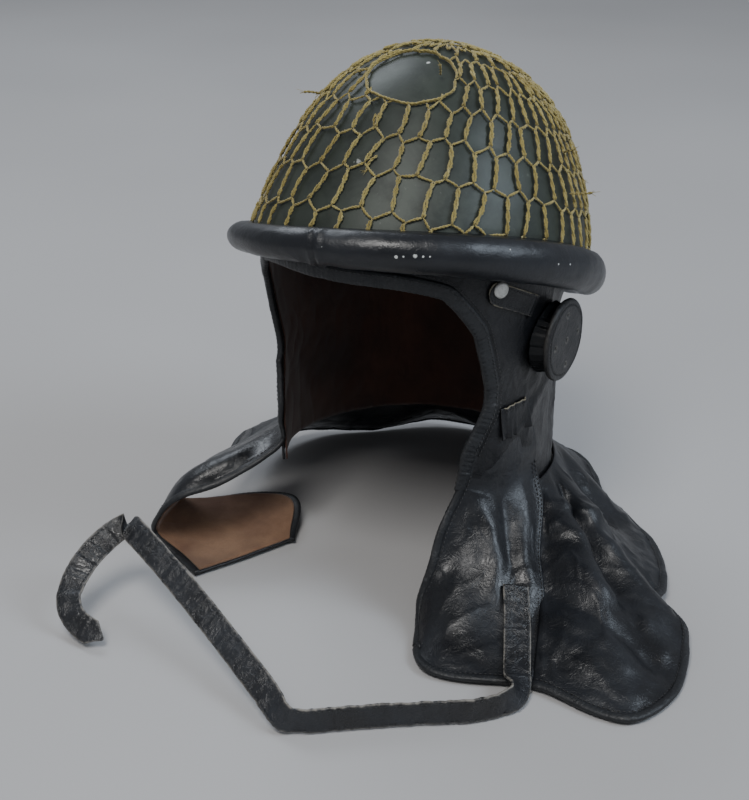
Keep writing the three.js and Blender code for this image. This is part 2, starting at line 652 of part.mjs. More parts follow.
// The loose tie strap, sewn to the left flap, with its free end curled on the table.
function makeTieStrap() {
  const flap = leftFlap();
  const stand = LEATHER / 2 + STRAP_THICK / 2 + FLAP_MARGIN;
  const sewn = Array.from({ length: STRAP_SEAM.rows }, (_, row) => {
    const share = row / (STRAP_SEAM.rows - 1);
    const across = THREE.MathUtils.lerp(STRAP_SEAM.across_top, STRAP_SEAM.across_bottom, share);
    const down = THREE.MathUtils.lerp(STRAP_SEAM.top, STRAP_SEAM.bottom, share);
    const line = lineDown(flap, across);
    const beside = lineDown(flap, across + SIDE_STEP);
    const wide = beside.getPoint(down).sub(line.getPoint(down)).normalize();
    const out = line.getTangent(down).cross(wide).normalize();
    return { at: line.getPoint(down).addScaledVector(out, stand), wide };
  });
  const free = STRAP_ROWS.map((row) => ({ at: vector(...row.at), wide: vector(...row.wide) }));
  const rows = [...sewn, ...free];
  const route = new THREE.CatmullRomCurve3(rows.map((row) => row.at), false, "centripetal");
  const twist = new THREE.CatmullRomCurve3(rows.map((row) => row.wide), false, "centripetal");
  const columns = Array.from({ length: STRAP_STEPS + 1 }, (_, step) => {
    const share = step / STRAP_STEPS;
    const middle = route.getPoint(share);
    const along = route.getTangent(share);
    const wide = twist.getPoint(share);
    wide.addScaledVector(along, -wide.dot(along)).normalize();
    return [-1, 0, 1].map((edge) => middle.clone().addScaledVector(wide, edge * STRAP_HALF_WIDTH));
  });
  return sheet(columns, STRAP_THICK);
}
add(helmet, "tie_strap", makeTieStrap(), "leather");

export default helmet;
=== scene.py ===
import math
import random
from collections import namedtuple

import bmesh
import bpy
import numpy as np
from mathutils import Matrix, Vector, noise


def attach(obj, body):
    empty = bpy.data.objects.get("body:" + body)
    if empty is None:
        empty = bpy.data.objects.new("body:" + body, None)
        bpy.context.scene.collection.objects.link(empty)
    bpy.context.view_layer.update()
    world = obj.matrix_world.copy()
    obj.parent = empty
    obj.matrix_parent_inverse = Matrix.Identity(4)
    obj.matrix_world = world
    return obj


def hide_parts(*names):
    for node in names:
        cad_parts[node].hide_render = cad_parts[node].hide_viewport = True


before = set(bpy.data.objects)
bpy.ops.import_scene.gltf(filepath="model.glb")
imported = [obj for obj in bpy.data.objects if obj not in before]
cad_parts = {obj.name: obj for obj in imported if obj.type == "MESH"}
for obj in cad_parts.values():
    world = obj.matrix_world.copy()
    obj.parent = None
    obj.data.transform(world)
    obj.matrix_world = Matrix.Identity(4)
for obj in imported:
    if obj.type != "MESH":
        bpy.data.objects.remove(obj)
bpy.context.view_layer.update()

MM = 0.001
TABLE_LEVEL = -209.0
PITCH = math.radians(17.8)
ASSEMBLY_BODY = "root"

# The camera stands to the front left of the helmet and looks down on it.
CAMERA_PLACE = (446.81, -768.99, 324.40)
CAMERA_TURN = 32.0
CAMERA_DOWN = 25.8
CAMERA_LENS = 63.0


def make_camera():
    data = bpy.data.cameras.new("camera")
    data.sensor_width = 36.0
    data.sensor_fit = "AUTO"
    data.lens = CAMERA_LENS
    camera = bpy.data.objects.new("camera", data)
    camera.location = Vector(CAMERA_PLACE) * MM
    camera.rotation_euler = (math.radians(90 - CAMERA_DOWN), 0, math.radians(CAMERA_TURN))
    bpy.context.collection.objects.link(camera)
    bpy.context.scene.camera = camera


make_camera()

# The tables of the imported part.
ShellRow = namedtuple("ShellRow", "level side front back")
SHELL_ROWS = [
    ShellRow(-2, 110, 126, 135),
    ShellRow(6, 108, 121.5, 134.5),
    ShellRow(20, 105.5, 117, 134),
    ShellRow(40, 101, 109.5, 133),
    ShellRow(60, 94.5, 101, 130),
    ShellRow(80, 86, 91.5, 124),
    ShellRow(100, 74.5, 78.5, 112),
    ShellRow(115, 62, 65, 97),
    ShellRow(128, 46, 48, 74),
    ShellRow(136, 30, 31, 49),
    ShellRow(140, 14, 15, 24),
    ShellRow(141.3, 0.1, 0.1, 0.1),
]
SHELL_TOP = 141.3
SHELL_WALL = 1.5

HoodRow = namedtuple("HoodRow", "level lean side front back")
HOOD_ROWS = [
    HoodRow(-170, 0, 95, 95, 113),
    HoodRow(-112, 0, 93, 98, 113),
    HoodRow(-85, 0, 93, 100.5, 113),
    HoodRow(-60, 0, 93, 104.5, 112),
    HoodRow(-40, 6.5, 93, 105.1, 115.8),
    HoodRow(-20, 13, 94.5, 110.9, 118.6),
    HoodRow(0, 17.8, 96.5, 114.7, 121.2),
    HoodRow(22, 17.8, 95, 109, 120.5),
    HoodRow(50, 17.8, 89, 98, 115),
    HoodRow(80, 17.8, 77, 82, 103),
    HoodRow(100, 17.8, 62, 66, 86),
    HoodRow(113, 17.8, 45, 47, 64),
    HoodRow(121, 17.8, 26, 27, 36),
    HoodRow(124, 17.8, 0.1, 0.1, 0.1),
]
HOOD_TOP = 124
HEM_HEIGHT = -149
HEM_SLOPE = 0.11
LEATHER = 1.8
LINING = 1.2
LINING_GAP = 0.7
FLAP_LINING_GAP = 0.9
SEAM_MARGIN = 0.8
FLAP_MARGIN = 1.3

FaceRow = namedtuple("FaceRow", "height half")
FACE_ROWS = [
    FaceRow(27.8, 0),
    FaceRow(26, 21),
    FaceRow(19, 37),
    FaceRow(12, 43),
    FaceRow(-7, 53),
    FaceRow(-18, 57),
    FaceRow(-41, 61),
    FaceRow(-66, 61),
    FaceRow(-87, 57),
    FaceRow(-103, 52),
    FaceRow(-117, 49),
    FaceRow(-132, 46),
    FaceRow(-141, 44.5),
]

RIM_LIFT_MEAN, RIM_LIFT_TILT, RIM_LIFT_ARCH, RIM_LIFT_TOWARDS = 4.5, 9.5, 3.0, 65.0
RIM_LIFT_ENDS, NET_EDGE = 80.0, 16.0
ROLL_RADIUS = 12.0
ROLL_SIDE, ROLL_FRONT, ROLL_BACK = 111.0, 126.0, 133.5
ROLL_HALF, ROLL_SWELL, ROLL_SWELL_TOWARDS = 11.8, 2.8, 95.0

FLAP_BEARINGS = (46, 66, 90)
FLAP_HEIGHT = -131
LEFT_FLAP_ROWS = [
    [(67, -82, -150), (92, -56, -150), (108, -12, -150)],
    [(66, -92, -170), (99, -78, -170), (122, -42, -170)],
    [(63, -99, -190), (99, -114, -190), (143, -77, -190)],
    [(63, -106, -206), (99, -149, -206), (160, -129, -206)],
]
RIGHT_FLAP_ROWS = [
    [(-93, -103, -150), (-98, -84, -138), (-117, -38, -150)],
    [(-117, -126, -160), (-120, -108, -151), (-137, -60, -164)],
    [(-133, -130, -178), (-139, -112, -177), (-151, -70, -183)],
    [(-141, -125, -196), (-146, -108, -197), (-155, -70, -199)],
    [(-120, -128, -206), (-108, -86, -206), (-88, -30, -194)],
    [(-93, -139, -206), (-77, -105, -206), (-61, -66, -205)],
]
CapeRow = namedtuple("CapeRow", "seat bend bend_reach bend_level hem hem_reach hem_level")
CAPE_ROWS = [
    CapeRow(94, 70.5, 137, -174, 53, 214, -206),
    CapeRow(97, 72, 156, -172, 57.4, 246, -206),
    CapeRow(102, 77, 162, -170, 61.5, 260, -206),
    CapeRow(107, 83, 152, -180, 70.5, 252, -206),
    CapeRow(112, 89, 150, -168, 82, 224, -201),
    CapeRow(117, 95, 143, -168, 87, 194, -200),
    CapeRow(121, 101, 136, -174, 93, 192, -202),
    CapeRow(130, 113, 128, -182, 108, 178, -204),
    CapeRow(140, 126, 132, -176, 120, 160, -203),
    CapeRow(152, 142, 124, -184, 137, 152, -206),
    CapeRow(166, 160, 134, -178, 158, 168, -203),
    CapeRow(180, 180, 127, -184, 180, 165, -206),
    CapeRow(194, 200, 134, -178, 202, 168, -203),
    CapeRow(208, 218, 124, -182, 223, 158, -206),
    CapeRow(222, 233, 128, -176, 239, 166, -202),
    CapeRow(236, 247, 128, -172, 254, 164, -194),
    CapeRow(250, 265, 130, -158, 271, 152, -172),
    CapeRow(264, 283, 131, -160, 288, 146, -176),
]
CAPE_OVERLAP = 6.0

StrapRow = namedtuple("StrapRow", "at wide")
STRAP_ROWS = [
    StrapRow((160, -151, -199), (0.35, 0.2, -0.9)),
    StrapRow((147, -174, -199), (0, 0.05, -1)),
    StrapRow((122, -193, -199), (0, 0.05, -1)),
    StrapRow((88, -219, -199), (0, 0, -1)),
    StrapRow((64, -238, -199), (0, 0, -1)),
    StrapRow((54, -241, -198), (-0.3, -0.35, -0.85)),
    StrapRow((34, -232, -193), (-0.5, -0.6, -0.6)),
    StrapRow((-46, -199, -174), (-0.5, -0.62, -0.58)),
    StrapRow((-108, -178, -158), (-0.5, -0.6, -0.6)),
    StrapRow((-119, -175, -157), (-0.8, -0.3, -0.1)),
    StrapRow((-129, -190, -166), (-0.79, -0.24, 0.45)),
    StrapRow((-131, -212, -178), (-0.8, -0.4, 0.1)),
    StrapRow((-126, -228, -189), (-0.6, -0.6, -0.45)),
    StrapRow((-114, -234, -197), (-0.32, -0.61, -0.72)),
    StrapRow((-91, -236, -201), (-0.3, -0.75, -0.5)),
]
STRAP_THICK = 2.0
STRAP_HALF_WIDTH = 8.5


# Numbers and curves.
def through(points, t, even=True):
    """The smooth curve through points, at t counted in points. Uneven spans use centripetal knots."""
    points = np.asarray(points, float)
    if points.ndim == 1:
        points = points[:, None]
    padded = np.vstack([2 * points[:1] - points[1:2], points, 2 * points[-1:] - points[-2:-1]])
    t = np.asarray(t, float)
    span = np.clip(t.astype(int), 0, len(points) - 2)
    share = (t - span)[..., None]
    a, b, c, d = (padded[span + step] for step in range(4))
    if even:
        leave, arrive = (c - a) / 2, (d - b) / 2
    else:
        knots = [np.sqrt(np.linalg.norm(q - p, axis=-1, keepdims=True)) for p, q in ((a, b), (b, c), (c, d))]
        before, here, after = (np.maximum(knot, 1e-4) for knot in knots)
        leave = ((b - a) / before - (c - a) / (before + here) + (c - b) / here) * here
        arrive = ((c - b) / here - (d - b) / (here + after) + (d - c) / after) * here
    square, cube = share**2, share**3
    found = (2 * cube - 3 * square + 1) * b + (cube - 2 * square + share) * leave
    found = found + (3 * square - 2 * cube) * c + (cube - square) * arrive
    return found[..., 0] if found.shape[-1] == 1 else found


def columns_at(rows, t):
    return {name: through([getattr(row, name) for row in rows], t) for name in rows[0]._fields}


def unit(vectors):
    return vectors / np.maximum(np.linalg.norm(vectors, axis=-1, keepdims=True), 1e-9)


def lengths_along(path):
    """Distance from a polyline's start to each of its points."""
    return np.concatenate([[0], np.cumsum(np.linalg.norm(np.diff(path, axis=0), axis=1))])


def eased(share):
    return share * share * (3 - 2 * share)


def even_steps(points, step):
    """Points along a polyline at a nearly fixed step."""
    along = lengths_along(points)
    count = max(2, int(round(along[-1] / step)) + 1)
    wanted = np.linspace(0, along[-1], count)
    return np.stack([np.interp(wanted, along, points[:, axis]) for axis in range(points.shape[1])], 1)


def waves(points, size, seed=0, stretch=(1, 1, 1)):
    """Smooth noise from about -1 to 1 at each point, with lumps of a size in millimetres."""
    places = np.asarray(points, float) * (np.array(stretch) / size) + seed * 17.3
    flat = [noise.noise(Vector(place)) for place in places.reshape(-1, 3)]
    return np.array(flat).reshape(places.shape[:-1])


def creases(points, size, seed=0, stretch=(1, 1, 1), sharp=3.0):
    """Narrow ridges where the noise crosses zero, from 0 to 1."""
    bent = points + 0.35 * size * waves(points, size, seed + 5)[..., None]
    return (1 - np.minimum(1, np.abs(waves(bent, size, seed, stretch)) * 2)) ** sharp


def bump(distance, width):
    return np.exp(-((distance / width) ** 2))


def reach(row, bearing, margin):
    """Distance from the axis to an oval that is grown by a margin."""
    angle = np.radians(bearing)
    ahead = np.where(np.cos(angle) > 0, row["front"], row["back"]) + margin
    side = row["side"] + margin
    return 1 / np.hypot(np.sin(angle) / np.maximum(side, 0.05), np.cos(angle) / np.maximum(ahead, 0.05))


def around(distance, bearing, height):
    angle = np.radians(bearing)
    return np.stack(np.broadcast_arrays(distance * np.sin(angle), -distance * np.cos(angle), height), -1)


def pitched(points, angle):
    """Points turned about the X axis, backwards for a positive angle."""
    y, z = points[..., 1], points[..., 2]
    cosine, sine = math.cos(angle), math.sin(angle)
    return np.stack([points[..., 0], y * cosine + z * sine, z * cosine - y * sine], -1)


def lean_back(points):
    """From the helmet's own frame, which is pitched back, to the world."""
    return pitched(points, PITCH)


def shell_frame(points):
    """From the world to the helmet's own frame."""
    return pitched(points, -PITCH)


def rim_lift(bearing):
    turn = np.radians(np.asarray(bearing, float) - RIM_LIFT_TOWARDS)
    return RIM_LIFT_MEAN + RIM_LIFT_TILT * np.cos(turn) + RIM_LIFT_ARCH * np.cos(2 * turn)


def shell_in_own_frame(t, bearing, margin=0.0):
    row = columns_at(SHELL_ROWS, t)
    level = row["level"] + margin * (np.maximum(row["level"], 0) / SHELL_TOP) ** 2
    fade = np.clip((RIM_LIFT_ENDS - row["level"]) / (RIM_LIFT_ENDS - NET_EDGE), 0, 1)
    return around(reach(row, bearing, margin), bearing, level + rim_lift(bearing) * fade)


def shell_point(t, bearing, margin=0.0):
    return lean_back(shell_in_own_frame(np.asarray(t, float), np.asarray(bearing, float), margin))


HALVINGS = 22


def row_at(rows, point_at, bearing, height):
    """The row number, with its fraction, where a rising profile has a height."""
    low = np.zeros(np.broadcast(bearing, height).shape)
    high = low + len(rows) - 1
    for _ in range(HALVINGS):
        middle = (low + high) / 2
        below = point_at(middle, bearing)[..., 2] < height
        low, high = np.where(below, middle, low), np.where(below, high, middle)
    return low


def shell_row_at(bearing, height):
    """The row number where the shell has a height in its own frame."""
    return row_at(SHELL_ROWS, shell_in_own_frame, bearing, height)


def hood_plain(t, bearing, margin=0.0):
    row = columns_at(HOOD_ROWS, t)
    lean = np.radians(row["lean"])
    level = row["level"] + margin * (np.maximum(row["level"], 0) / HOOD_TOP) ** 2
    flat = around(reach(row, bearing, margin), bearing, 0.0)
    y = flat[..., 1] * np.cos(lean) + level * np.sin(lean)
    z = level * np.cos(lean) - flat[..., 1] * np.sin(lean)
    return np.stack([flat[..., 0], y, z], -1)


def hood_row_at(bearing, height):
    return row_at(HOOD_ROWS, hood_plain, bearing, height)


# Slack ridges and hollows of the hood: from, to, how far out, how wide.
HoodFold = namedtuple("HoodFold", "start end rise width")
HOOD_FOLDS = [
    HoodFold((93, 20, -72), (86, -38, -104), 1.9, 4.5),
    HoodFold((93, 6, -74), (88, -28, -92), -1.5, 4),
    HoodFold((84, -56, -6), (92, -34, -50), 1.1, 3.5),
    HoodFold((80, -60, -20), (90, -44, -70), -0.9, 4),
    HoodFold((82, -48, -100), (76, -60, -126), 1.6, 4),
    HoodFold((87, -34, -95), (80, -52, -126), 1.9, 7),
    HoodFold((89, -24, -104), (86, -36, -138), -1.6, 6),
    HoodFold((92, -15, -96), (93, 6, -128), 2.0, 9),
    HoodFold((90, 4, -80), (84, 42, -118), -1.3, 8),
    HoodFold((84, -49, -30), (86, -44, -90), 0.9, 6),
    HoodFold((76, 66, -60), (86, 38, -128), 1.5, 9),
    HoodFold((-87, -34, -95), (-80, -52, -126), 1.6, 7),
    HoodFold((-92, -15, -90), (-93, 6, -128), 1.6, 9),
    HoodFold((-76, 66, -60), (-86, 38, -128), 1.5, 9),
    HoodFold((20, 112, -50), (34, 106, -140), 1.6, 11),
    HoodFold((-24, 112, -60), (-40, 104, -140), 1.6, 11),
    HoodFold((60, 92, -40), (52, 98, -130), -1.2, 8),
    HoodFold((-60, 92, -40), (-52, 98, -130), -1.2, 8),
]
SLACK = 0.9
# The hood lies calm where the flaps are sewn on: below a height, and ahead of a line past the ears.
CALM_BELOW, CALM_BELOW_FADE = -104.0, 20.0
CALM_AHEAD, CALM_AHEAD_FADE = 12.0, 25.0
# It is loosest under the ears, and tight over the crown.
LOOSE_BELOW, LOOSE_FADE = -25.0, 30.0
TIGHT_ABOVE, TIGHT_FADE = 60.0, 40.0


def near_line(points, start, end):
    """Distance of each point from a straight line, and the share along the line."""
    start, end = np.array(start, float), np.array(end, float)
    along = end - start
    share = np.clip(((points - start) @ along) / (along @ along), 0, 1)
    return np.linalg.norm(points - start - share[..., None] * along, axis=-1), share


def hood_slack(points):
    """How far the hood's leather stands off its smooth shape."""
    off = 0.7 * waves(points, 30, 3, (1, 1, 0.6)) + 0.4 * waves(points, 11, 4, (1, 1, 0.7))
    off = off + 0.5 * creases(points, 20, 6, (1, 1, 0.5), 4)
    height = points[..., 2]
    over_flap = np.clip((height - CALM_BELOW) / CALM_BELOW_FADE, 0, 1)
    behind_flap = np.clip((points[..., 1] - CALM_AHEAD) / CALM_AHEAD_FADE, 0, 1)
    below = np.clip((LOOSE_BELOW - height) / LOOSE_FADE, 0, 1) * np.maximum(over_flap, behind_flap)
    loose = 0.7 * waves(points, 15, 8, (1, 1, 0.6)) + 0.7 * creases(points, 12, 9, (1, 1, 0.6), 4)
    off = off + below * (loose - 0.5)
    for fold in HOOD_FOLDS:
        distance, share = near_line(points, fold.start, fold.end)
        off = off + fold.rise * bump(distance, fold.width) * np.sin(math.pi * (0.15 + 0.7 * share))
    return off * np.clip((TIGHT_ABOVE - height) / TIGHT_FADE, 0, 1)


def hood_point(bearing, height, margin=0.0):
    bearing, height = np.broadcast_arrays(np.asarray(bearing, float), np.asarray(height, float))
    t = hood_row_at(bearing, height)
    return hood_plain(t, bearing, margin + hood_slack(hood_plain(t, bearing)) * SLACK)


def hem_height(bearing):
    """The height of the hood's lower edge, which drops towards the nape."""
    foot = hood_plain(np.zeros(np.shape(bearing)), np.asarray(bearing, float), 0.0)
    return HEM_HEIGHT - HEM_SLOPE * foot[..., 1]


def grid_normals(grid):
    """Normals of a grid of points, by the cross of its two directions."""
    return unit(np.cross(np.gradient(grid, axis=1), np.gradient(grid, axis=0)))


# Meshes.
def finish_mesh(name, points, faces, material, wear=None):
    mesh = bpy.data.meshes.new(name)
    places = np.asarray(points, float).reshape(-1, 3) * MM
    mesh.from_pydata([tuple(place) for place in places], [], faces)
    mesh.validate()
    mesh.update()
    mesh.polygons.foreach_set("use_smooth", [True] * len(mesh.polygons))
    mesh.materials.append(material)
    if wear is not None:
        worn = mesh.attributes.new("wear", "FLOAT", "POINT")
        worn.data.foreach_set("value", np.ravel(wear).astype(np.float32))
    made = bpy.data.objects.new(name, mesh)
    bpy.context.collection.objects.link(made)
    return made


def grid_faces(rows, columns, wrap=False, first=0):
    faces = []
    for row in range(rows - 1):
        for column in range(columns if wrap else columns - 1):
            after = (column + 1) % columns
            here, above = first + row * columns, first + (row + 1) * columns
            faces.append((here + column, here + after, above + after, above + column))
    return faces


def closing_ring(rows, columns):
    """The faces that join a wrapped grid's last row to its first."""
    last = (rows - 1) * columns
    return [(last + c, last + (c + 1) % columns, (c + 1) % columns, c) for c in range(columns)]


def end_caps(rows, columns, first=0, flip=False):
    """The two faces that close a tube of rings."""
    last = first + (rows - 1) * columns
    near = [first + step for step in range(columns)]
    far = [last + step for step in range(columns)]
    return [tuple(near if flip else reversed(near)), tuple(reversed(far) if flip else far)]


def turn_outward(made, merge=None):
    """Turns all faces outward, once points closer than the merge distance are joined."""
    edit = bmesh.new()
    edit.from_mesh(made.data)
    if merge is not None:
        bmesh.ops.remove_doubles(edit, verts=edit.verts, dist=merge * MM)
    bmesh.ops.recalc_face_normals(edit, faces=edit.faces)
    edit.to_mesh(made.data)
    edit.free()


def path_frame(path, normals):
    """Unit directions square to a path: the one nearest the normals, and the one beside it."""
    tangents = unit(np.gradient(path, axis=0))
    up = unit(normals - (normals * tangents).sum(-1, keepdims=True) * tangents)
    return up, np.cross(tangents, up)


def surface(name, grid, material, thickness):
    """A sheet over a grid of points, with a solid edge."""
    made = finish_mesh(name, grid, grid_faces(*grid.shape[:2]), material)
    solid = made.modifiers.new("thickness", "SOLIDIFY")
    solid.thickness = thickness * MM
    solid.offset = 0.0
    solid.use_even_offset = False
    return made


class Strands:
    """Gathers many small round strands into one mesh."""

    def __init__(self):
        self.points, self.faces, self.total = [], [], 0

    def add(self, path, normals, radius, sides=4, taper=True):
        path = np.asarray(path, float)
        up, side = path_frame(path, normals)
        angles = np.arange(sides) * 2 * math.pi / sides
        radii = np.full(len(path), radius) if np.isscalar(radius) else np.asarray(radius)
        if taper:
            radii = radii.copy()
            radii[[0, -1]] *= 0.35
        turn = np.cos(angles)[None, :, None] * up[:, None] + np.sin(angles)[None, :, None] * side[:, None]
        rings = path[:, None] + radii[:, None, None] * turn
        self.points.append(rings.reshape(-1, 3))
        self.faces += grid_faces(len(path), sides, True, self.total)
        self.faces += end_caps(len(path), sides, self.total)
        self.total += len(path) * sides

    def add_twisted(self, path, normals, radius, pitch, start=0.0, sides=4):
        """Two plies laid round each other."""
        path = np.asarray(path, float)
        lengths = lengths_along(path)
        up, side = path_frame(path, normals)
        for ply in (0, math.pi):
            phase = lengths * 2 * math.pi / pitch + start + ply
            off = np.cos(phase)[:, None] * up + np.sin(phase)[:, None] * side
            self.add(path + radius * 0.85 * off, normals, radius, sides)

    def build(self, name, material):
        return finish_mesh(name, np.concatenate(self.points), self.faces, material)


def band_points(path, across, half_width, half_thick, sides, square):
    """A flat band's rings along a path: a rounded oblong section, wide along across."""
    across, up = path_frame(path, across)
    angles = (np.arange(sides) + 0.5) * 2 * math.pi / sides
    cosines, sines = np.cos(angles), np.sin(angles)
    flat = np.sign(cosines) * np.abs(cosines) ** (2 / square)
    tall = np.sign(sines) * np.abs(sines) ** (2 / square)
    half_width = np.broadcast_to(half_width, len(path))
    half_thick = np.broadcast_to(half_thick, len(path))
    rings = path[:, None] + (half_width[:, None] * flat)[..., None] * across[:, None]
    rings = rings + (half_thick[:, None] * tall)[..., None] * up[:, None]
    return rings, flat, tall, up


def band(name, path, across, half_width, half_thick, material, sides, square, ruffle=None, edge_wear=0.0):
    """A flat band along a path, with closed ends and wear along its edges."""
    rings, flat, tall, up = band_points(path, across, half_width, half_thick, sides, square)
    if ruffle is not None:
        rings = rings + ruffle(rings)[..., None] * up[:, None]
    faces = grid_faces(len(path), sides, True) + end_caps(len(path), sides)
    wear = edge_wear * np.broadcast_to(np.clip((np.abs(flat) - 0.86) / 0.12, 0, 1), rings.shape[:2])
    return finish_mesh(name, rings, faces, material, wear)


# Materials.
class Look:
    """A material whose nodes are added by short calls."""

    def __init__(self, name):
        self.material = bpy.data.materials.new(name)
        self.material.use_nodes = True
        self.tree = self.material.node_tree
        self.shader = next(node for node in self.tree.nodes if node.type == "BSDF_PRINCIPLED")
        self.place = self.node("ShaderNodeTexCoord", {}).outputs["Object"]

    def node(self, kind, values, **settings):
        made = self.tree.nodes.new(kind)
        for key, value in settings.items():
            setattr(made, key, value)
        for key, value in values.items():
            if isinstance(value, bpy.types.NodeSocket):
                self.tree.links.new(value, made.inputs[key])
            else:
                made.inputs[key].default_value = value
        return made

    def set(self, name, value):
        if isinstance(value, bpy.types.NodeSocket):
            self.tree.links.new(value, self.shader.inputs[name])
        else:
            self.shader.inputs[name].default_value = value

    def noise(self, scale, detail=4.0, rough=0.55, distort=0.0, stretch=None):
        place = self.place
        if stretch is not None:
            place = self.node("ShaderNodeMapping", {0: place, 3: stretch}).outputs[0]
        values = {"Vector": place, "Scale": scale, "Detail": detail}
        values.update({"Roughness": rough, "Distortion": distort})
        return self.node("ShaderNodeTexNoise", values).outputs["Fac"]

    def cells(self, scale, feature="F1"):
        values = {"Vector": self.place, "Scale": scale}
        return self.node("ShaderNodeTexVoronoi", values, feature=feature).outputs["Distance"]

    def span(self, value, low, high, to_low=0.0, to_high=1.0):
        values = {"Value": value, "From Min": low, "From Max": high, "To Min": to_low, "To Max": to_high}
        return self.node("ShaderNodeMapRange", values).outputs[0]

    def math(self, kind, a, b=0.0):
        return self.node("ShaderNodeMath", {0: a, 1: b}, operation=kind).outputs[0]

    def mix(self, share, a, b):
        return self.node("ShaderNodeMix", {0: share, 6: a, 7: b}, data_type="RGBA").outputs[2]

    def attribute(self, name):
        return self.node("ShaderNodeAttribute", {}, attribute_name=name).outputs["Fac"]

    def near(self, place, radius, ragged):
        """One inside a small blob round a place in millimetres, and nought outside."""
        at = tuple(value * MM for value in place)
        measured = self.node("ShaderNodeVectorMath", {0: self.place, 1: at}, operation="DISTANCE")
        edge = self.math("MULTIPLY", ragged, radius * MM * 1.6)
        distance = self.math("ADD", measured.outputs["Value"], edge)
        return self.span(distance, radius * MM * (1 + CHIP_SOFT), radius * MM * (1 - CHIP_SOFT))

    def chipped(self, colour, scale, chips):
        """The colour with pale chips, whose edges are ragged at a scale."""
        ragged = self.math("SUBTRACT", self.noise(scale, 3.0), 0.5)
        for place, radius in chips:
            colour = self.mix(self.near(place, radius, ragged), colour, PALE_CHIP)
        return colour

    def bump(self, *layers):
        """Stacks heights, each with its strength and depth in millimetres."""
        normal = None
        for height, strength, depth in layers:
            values = {"Height": height, "Strength": strength, "Distance": depth * MM}
            if normal is not None:
                values["Normal"] = normal
            normal = self.node("ShaderNodeBump", values).outputs[0]
        self.set("Normal", normal)


def rgb(red, green, blue):
    return (red, green, blue, 1.0)


PALE_CHIP = rgb(0.62, 0.64, 0.62)
CHIP_SOFT = 0.25
CUT_EDGE = rgb(0.23, 0.215, 0.19)


def leather_look(name, dark, light, gloss=0.4, grain=1.0, crinkle=1.0, scuffs=0.35, shine=0.5, chips=()):
    look = Look(name)
    broad = look.noise(26.0, 4.0)
    fine = look.noise(240.0, 5.0, 0.6)
    colour = look.mix(look.span(broad, 0.36, 0.66), dark, light)
    colour = look.mix(look.span(fine, 0.35, 0.75, 0.0, 0.35), colour, rgb(0.004, 0.004, 0.005))
    rubbed = look.span(look.noise(75.0, 6.0, 0.7, 0.6), 0.6, 0.78)
    rub = look.math("MULTIPLY", rubbed, look.span(fine, 0.45, 0.62))
    colour = look.mix(look.math("MULTIPLY", rub, scuffs), colour, rgb(0.13, 0.135, 0.14))
    crack = look.cells(310.0, "DISTANCE_TO_EDGE")
    worn = look.math("MULTIPLY", look.attribute("wear"), look.span(fine, 0.36, 0.56))
    colour = look.mix(worn, colour, CUT_EDGE)
    look.set("Base Color", look.chipped(colour, 520.0, chips))
    rough = look.span(broad, 0.3, 0.72, gloss - 0.09, gloss + 0.13)
    rough = look.math("ADD", rough, look.math("MULTIPLY", worn, 0.25))
    look.set("Roughness", look.math("ADD", rough, look.span(fine, 0.3, 0.8, -0.04, 0.07)))
    look.set("Specular IOR Level", shine)
    look.set("Coat Weight", 0.1)
    look.set("Coat Roughness", 0.34)
    wrinkle = look.noise(105.0, 5.0, 0.62, 1.1)
    ridge = look.span(look.math("ABSOLUTE", look.math("SUBTRACT", wrinkle, 0.5)), 0.0, 0.09)
    pebble = look.cells(760.0)
    streak = look.noise(46.0, 4.0, 0.6, 1.6, (1.0, 1.0, 0.55))
    look.bump(
        (streak, 0.22 * crinkle, 1.6),
        (ridge, 0.30 * crinkle, 0.55),
        (look.span(crack, 0.0, 0.12), 0.22 * grain, 0.2),
        (pebble, 0.34 * grain, 0.22),
        (fine, 0.25, 0.15),
    )
    return look.material


def suede_look(name, dark, light, stain):
    look = Look(name)
    broad = look.noise(22.0, 5.0, 0.6)
    fibre = look.noise(900.0, 4.0, 0.7, 0.5, (1.0, 1.0, 0.45))
    colour = look.mix(look.span(broad, 0.34, 0.68), dark, light)
    colour = look.mix(look.span(look.noise(9.0, 3.0), 0.52, 0.7, 0.0, 0.75), colour, stain)
    colour = look.mix(look.span(fibre, 0.35, 0.7, 0.0, 0.35), colour, dark)
    look.set("Base Color", colour)
    look.set("Roughness", 0.92)
    look.set("Sheen Weight", 0.25)
    look.bump((look.noise(120.0, 4.0, 0.6, 0.8), 0.35, 0.6), (fibre, 0.5, 0.3))
    return look.material


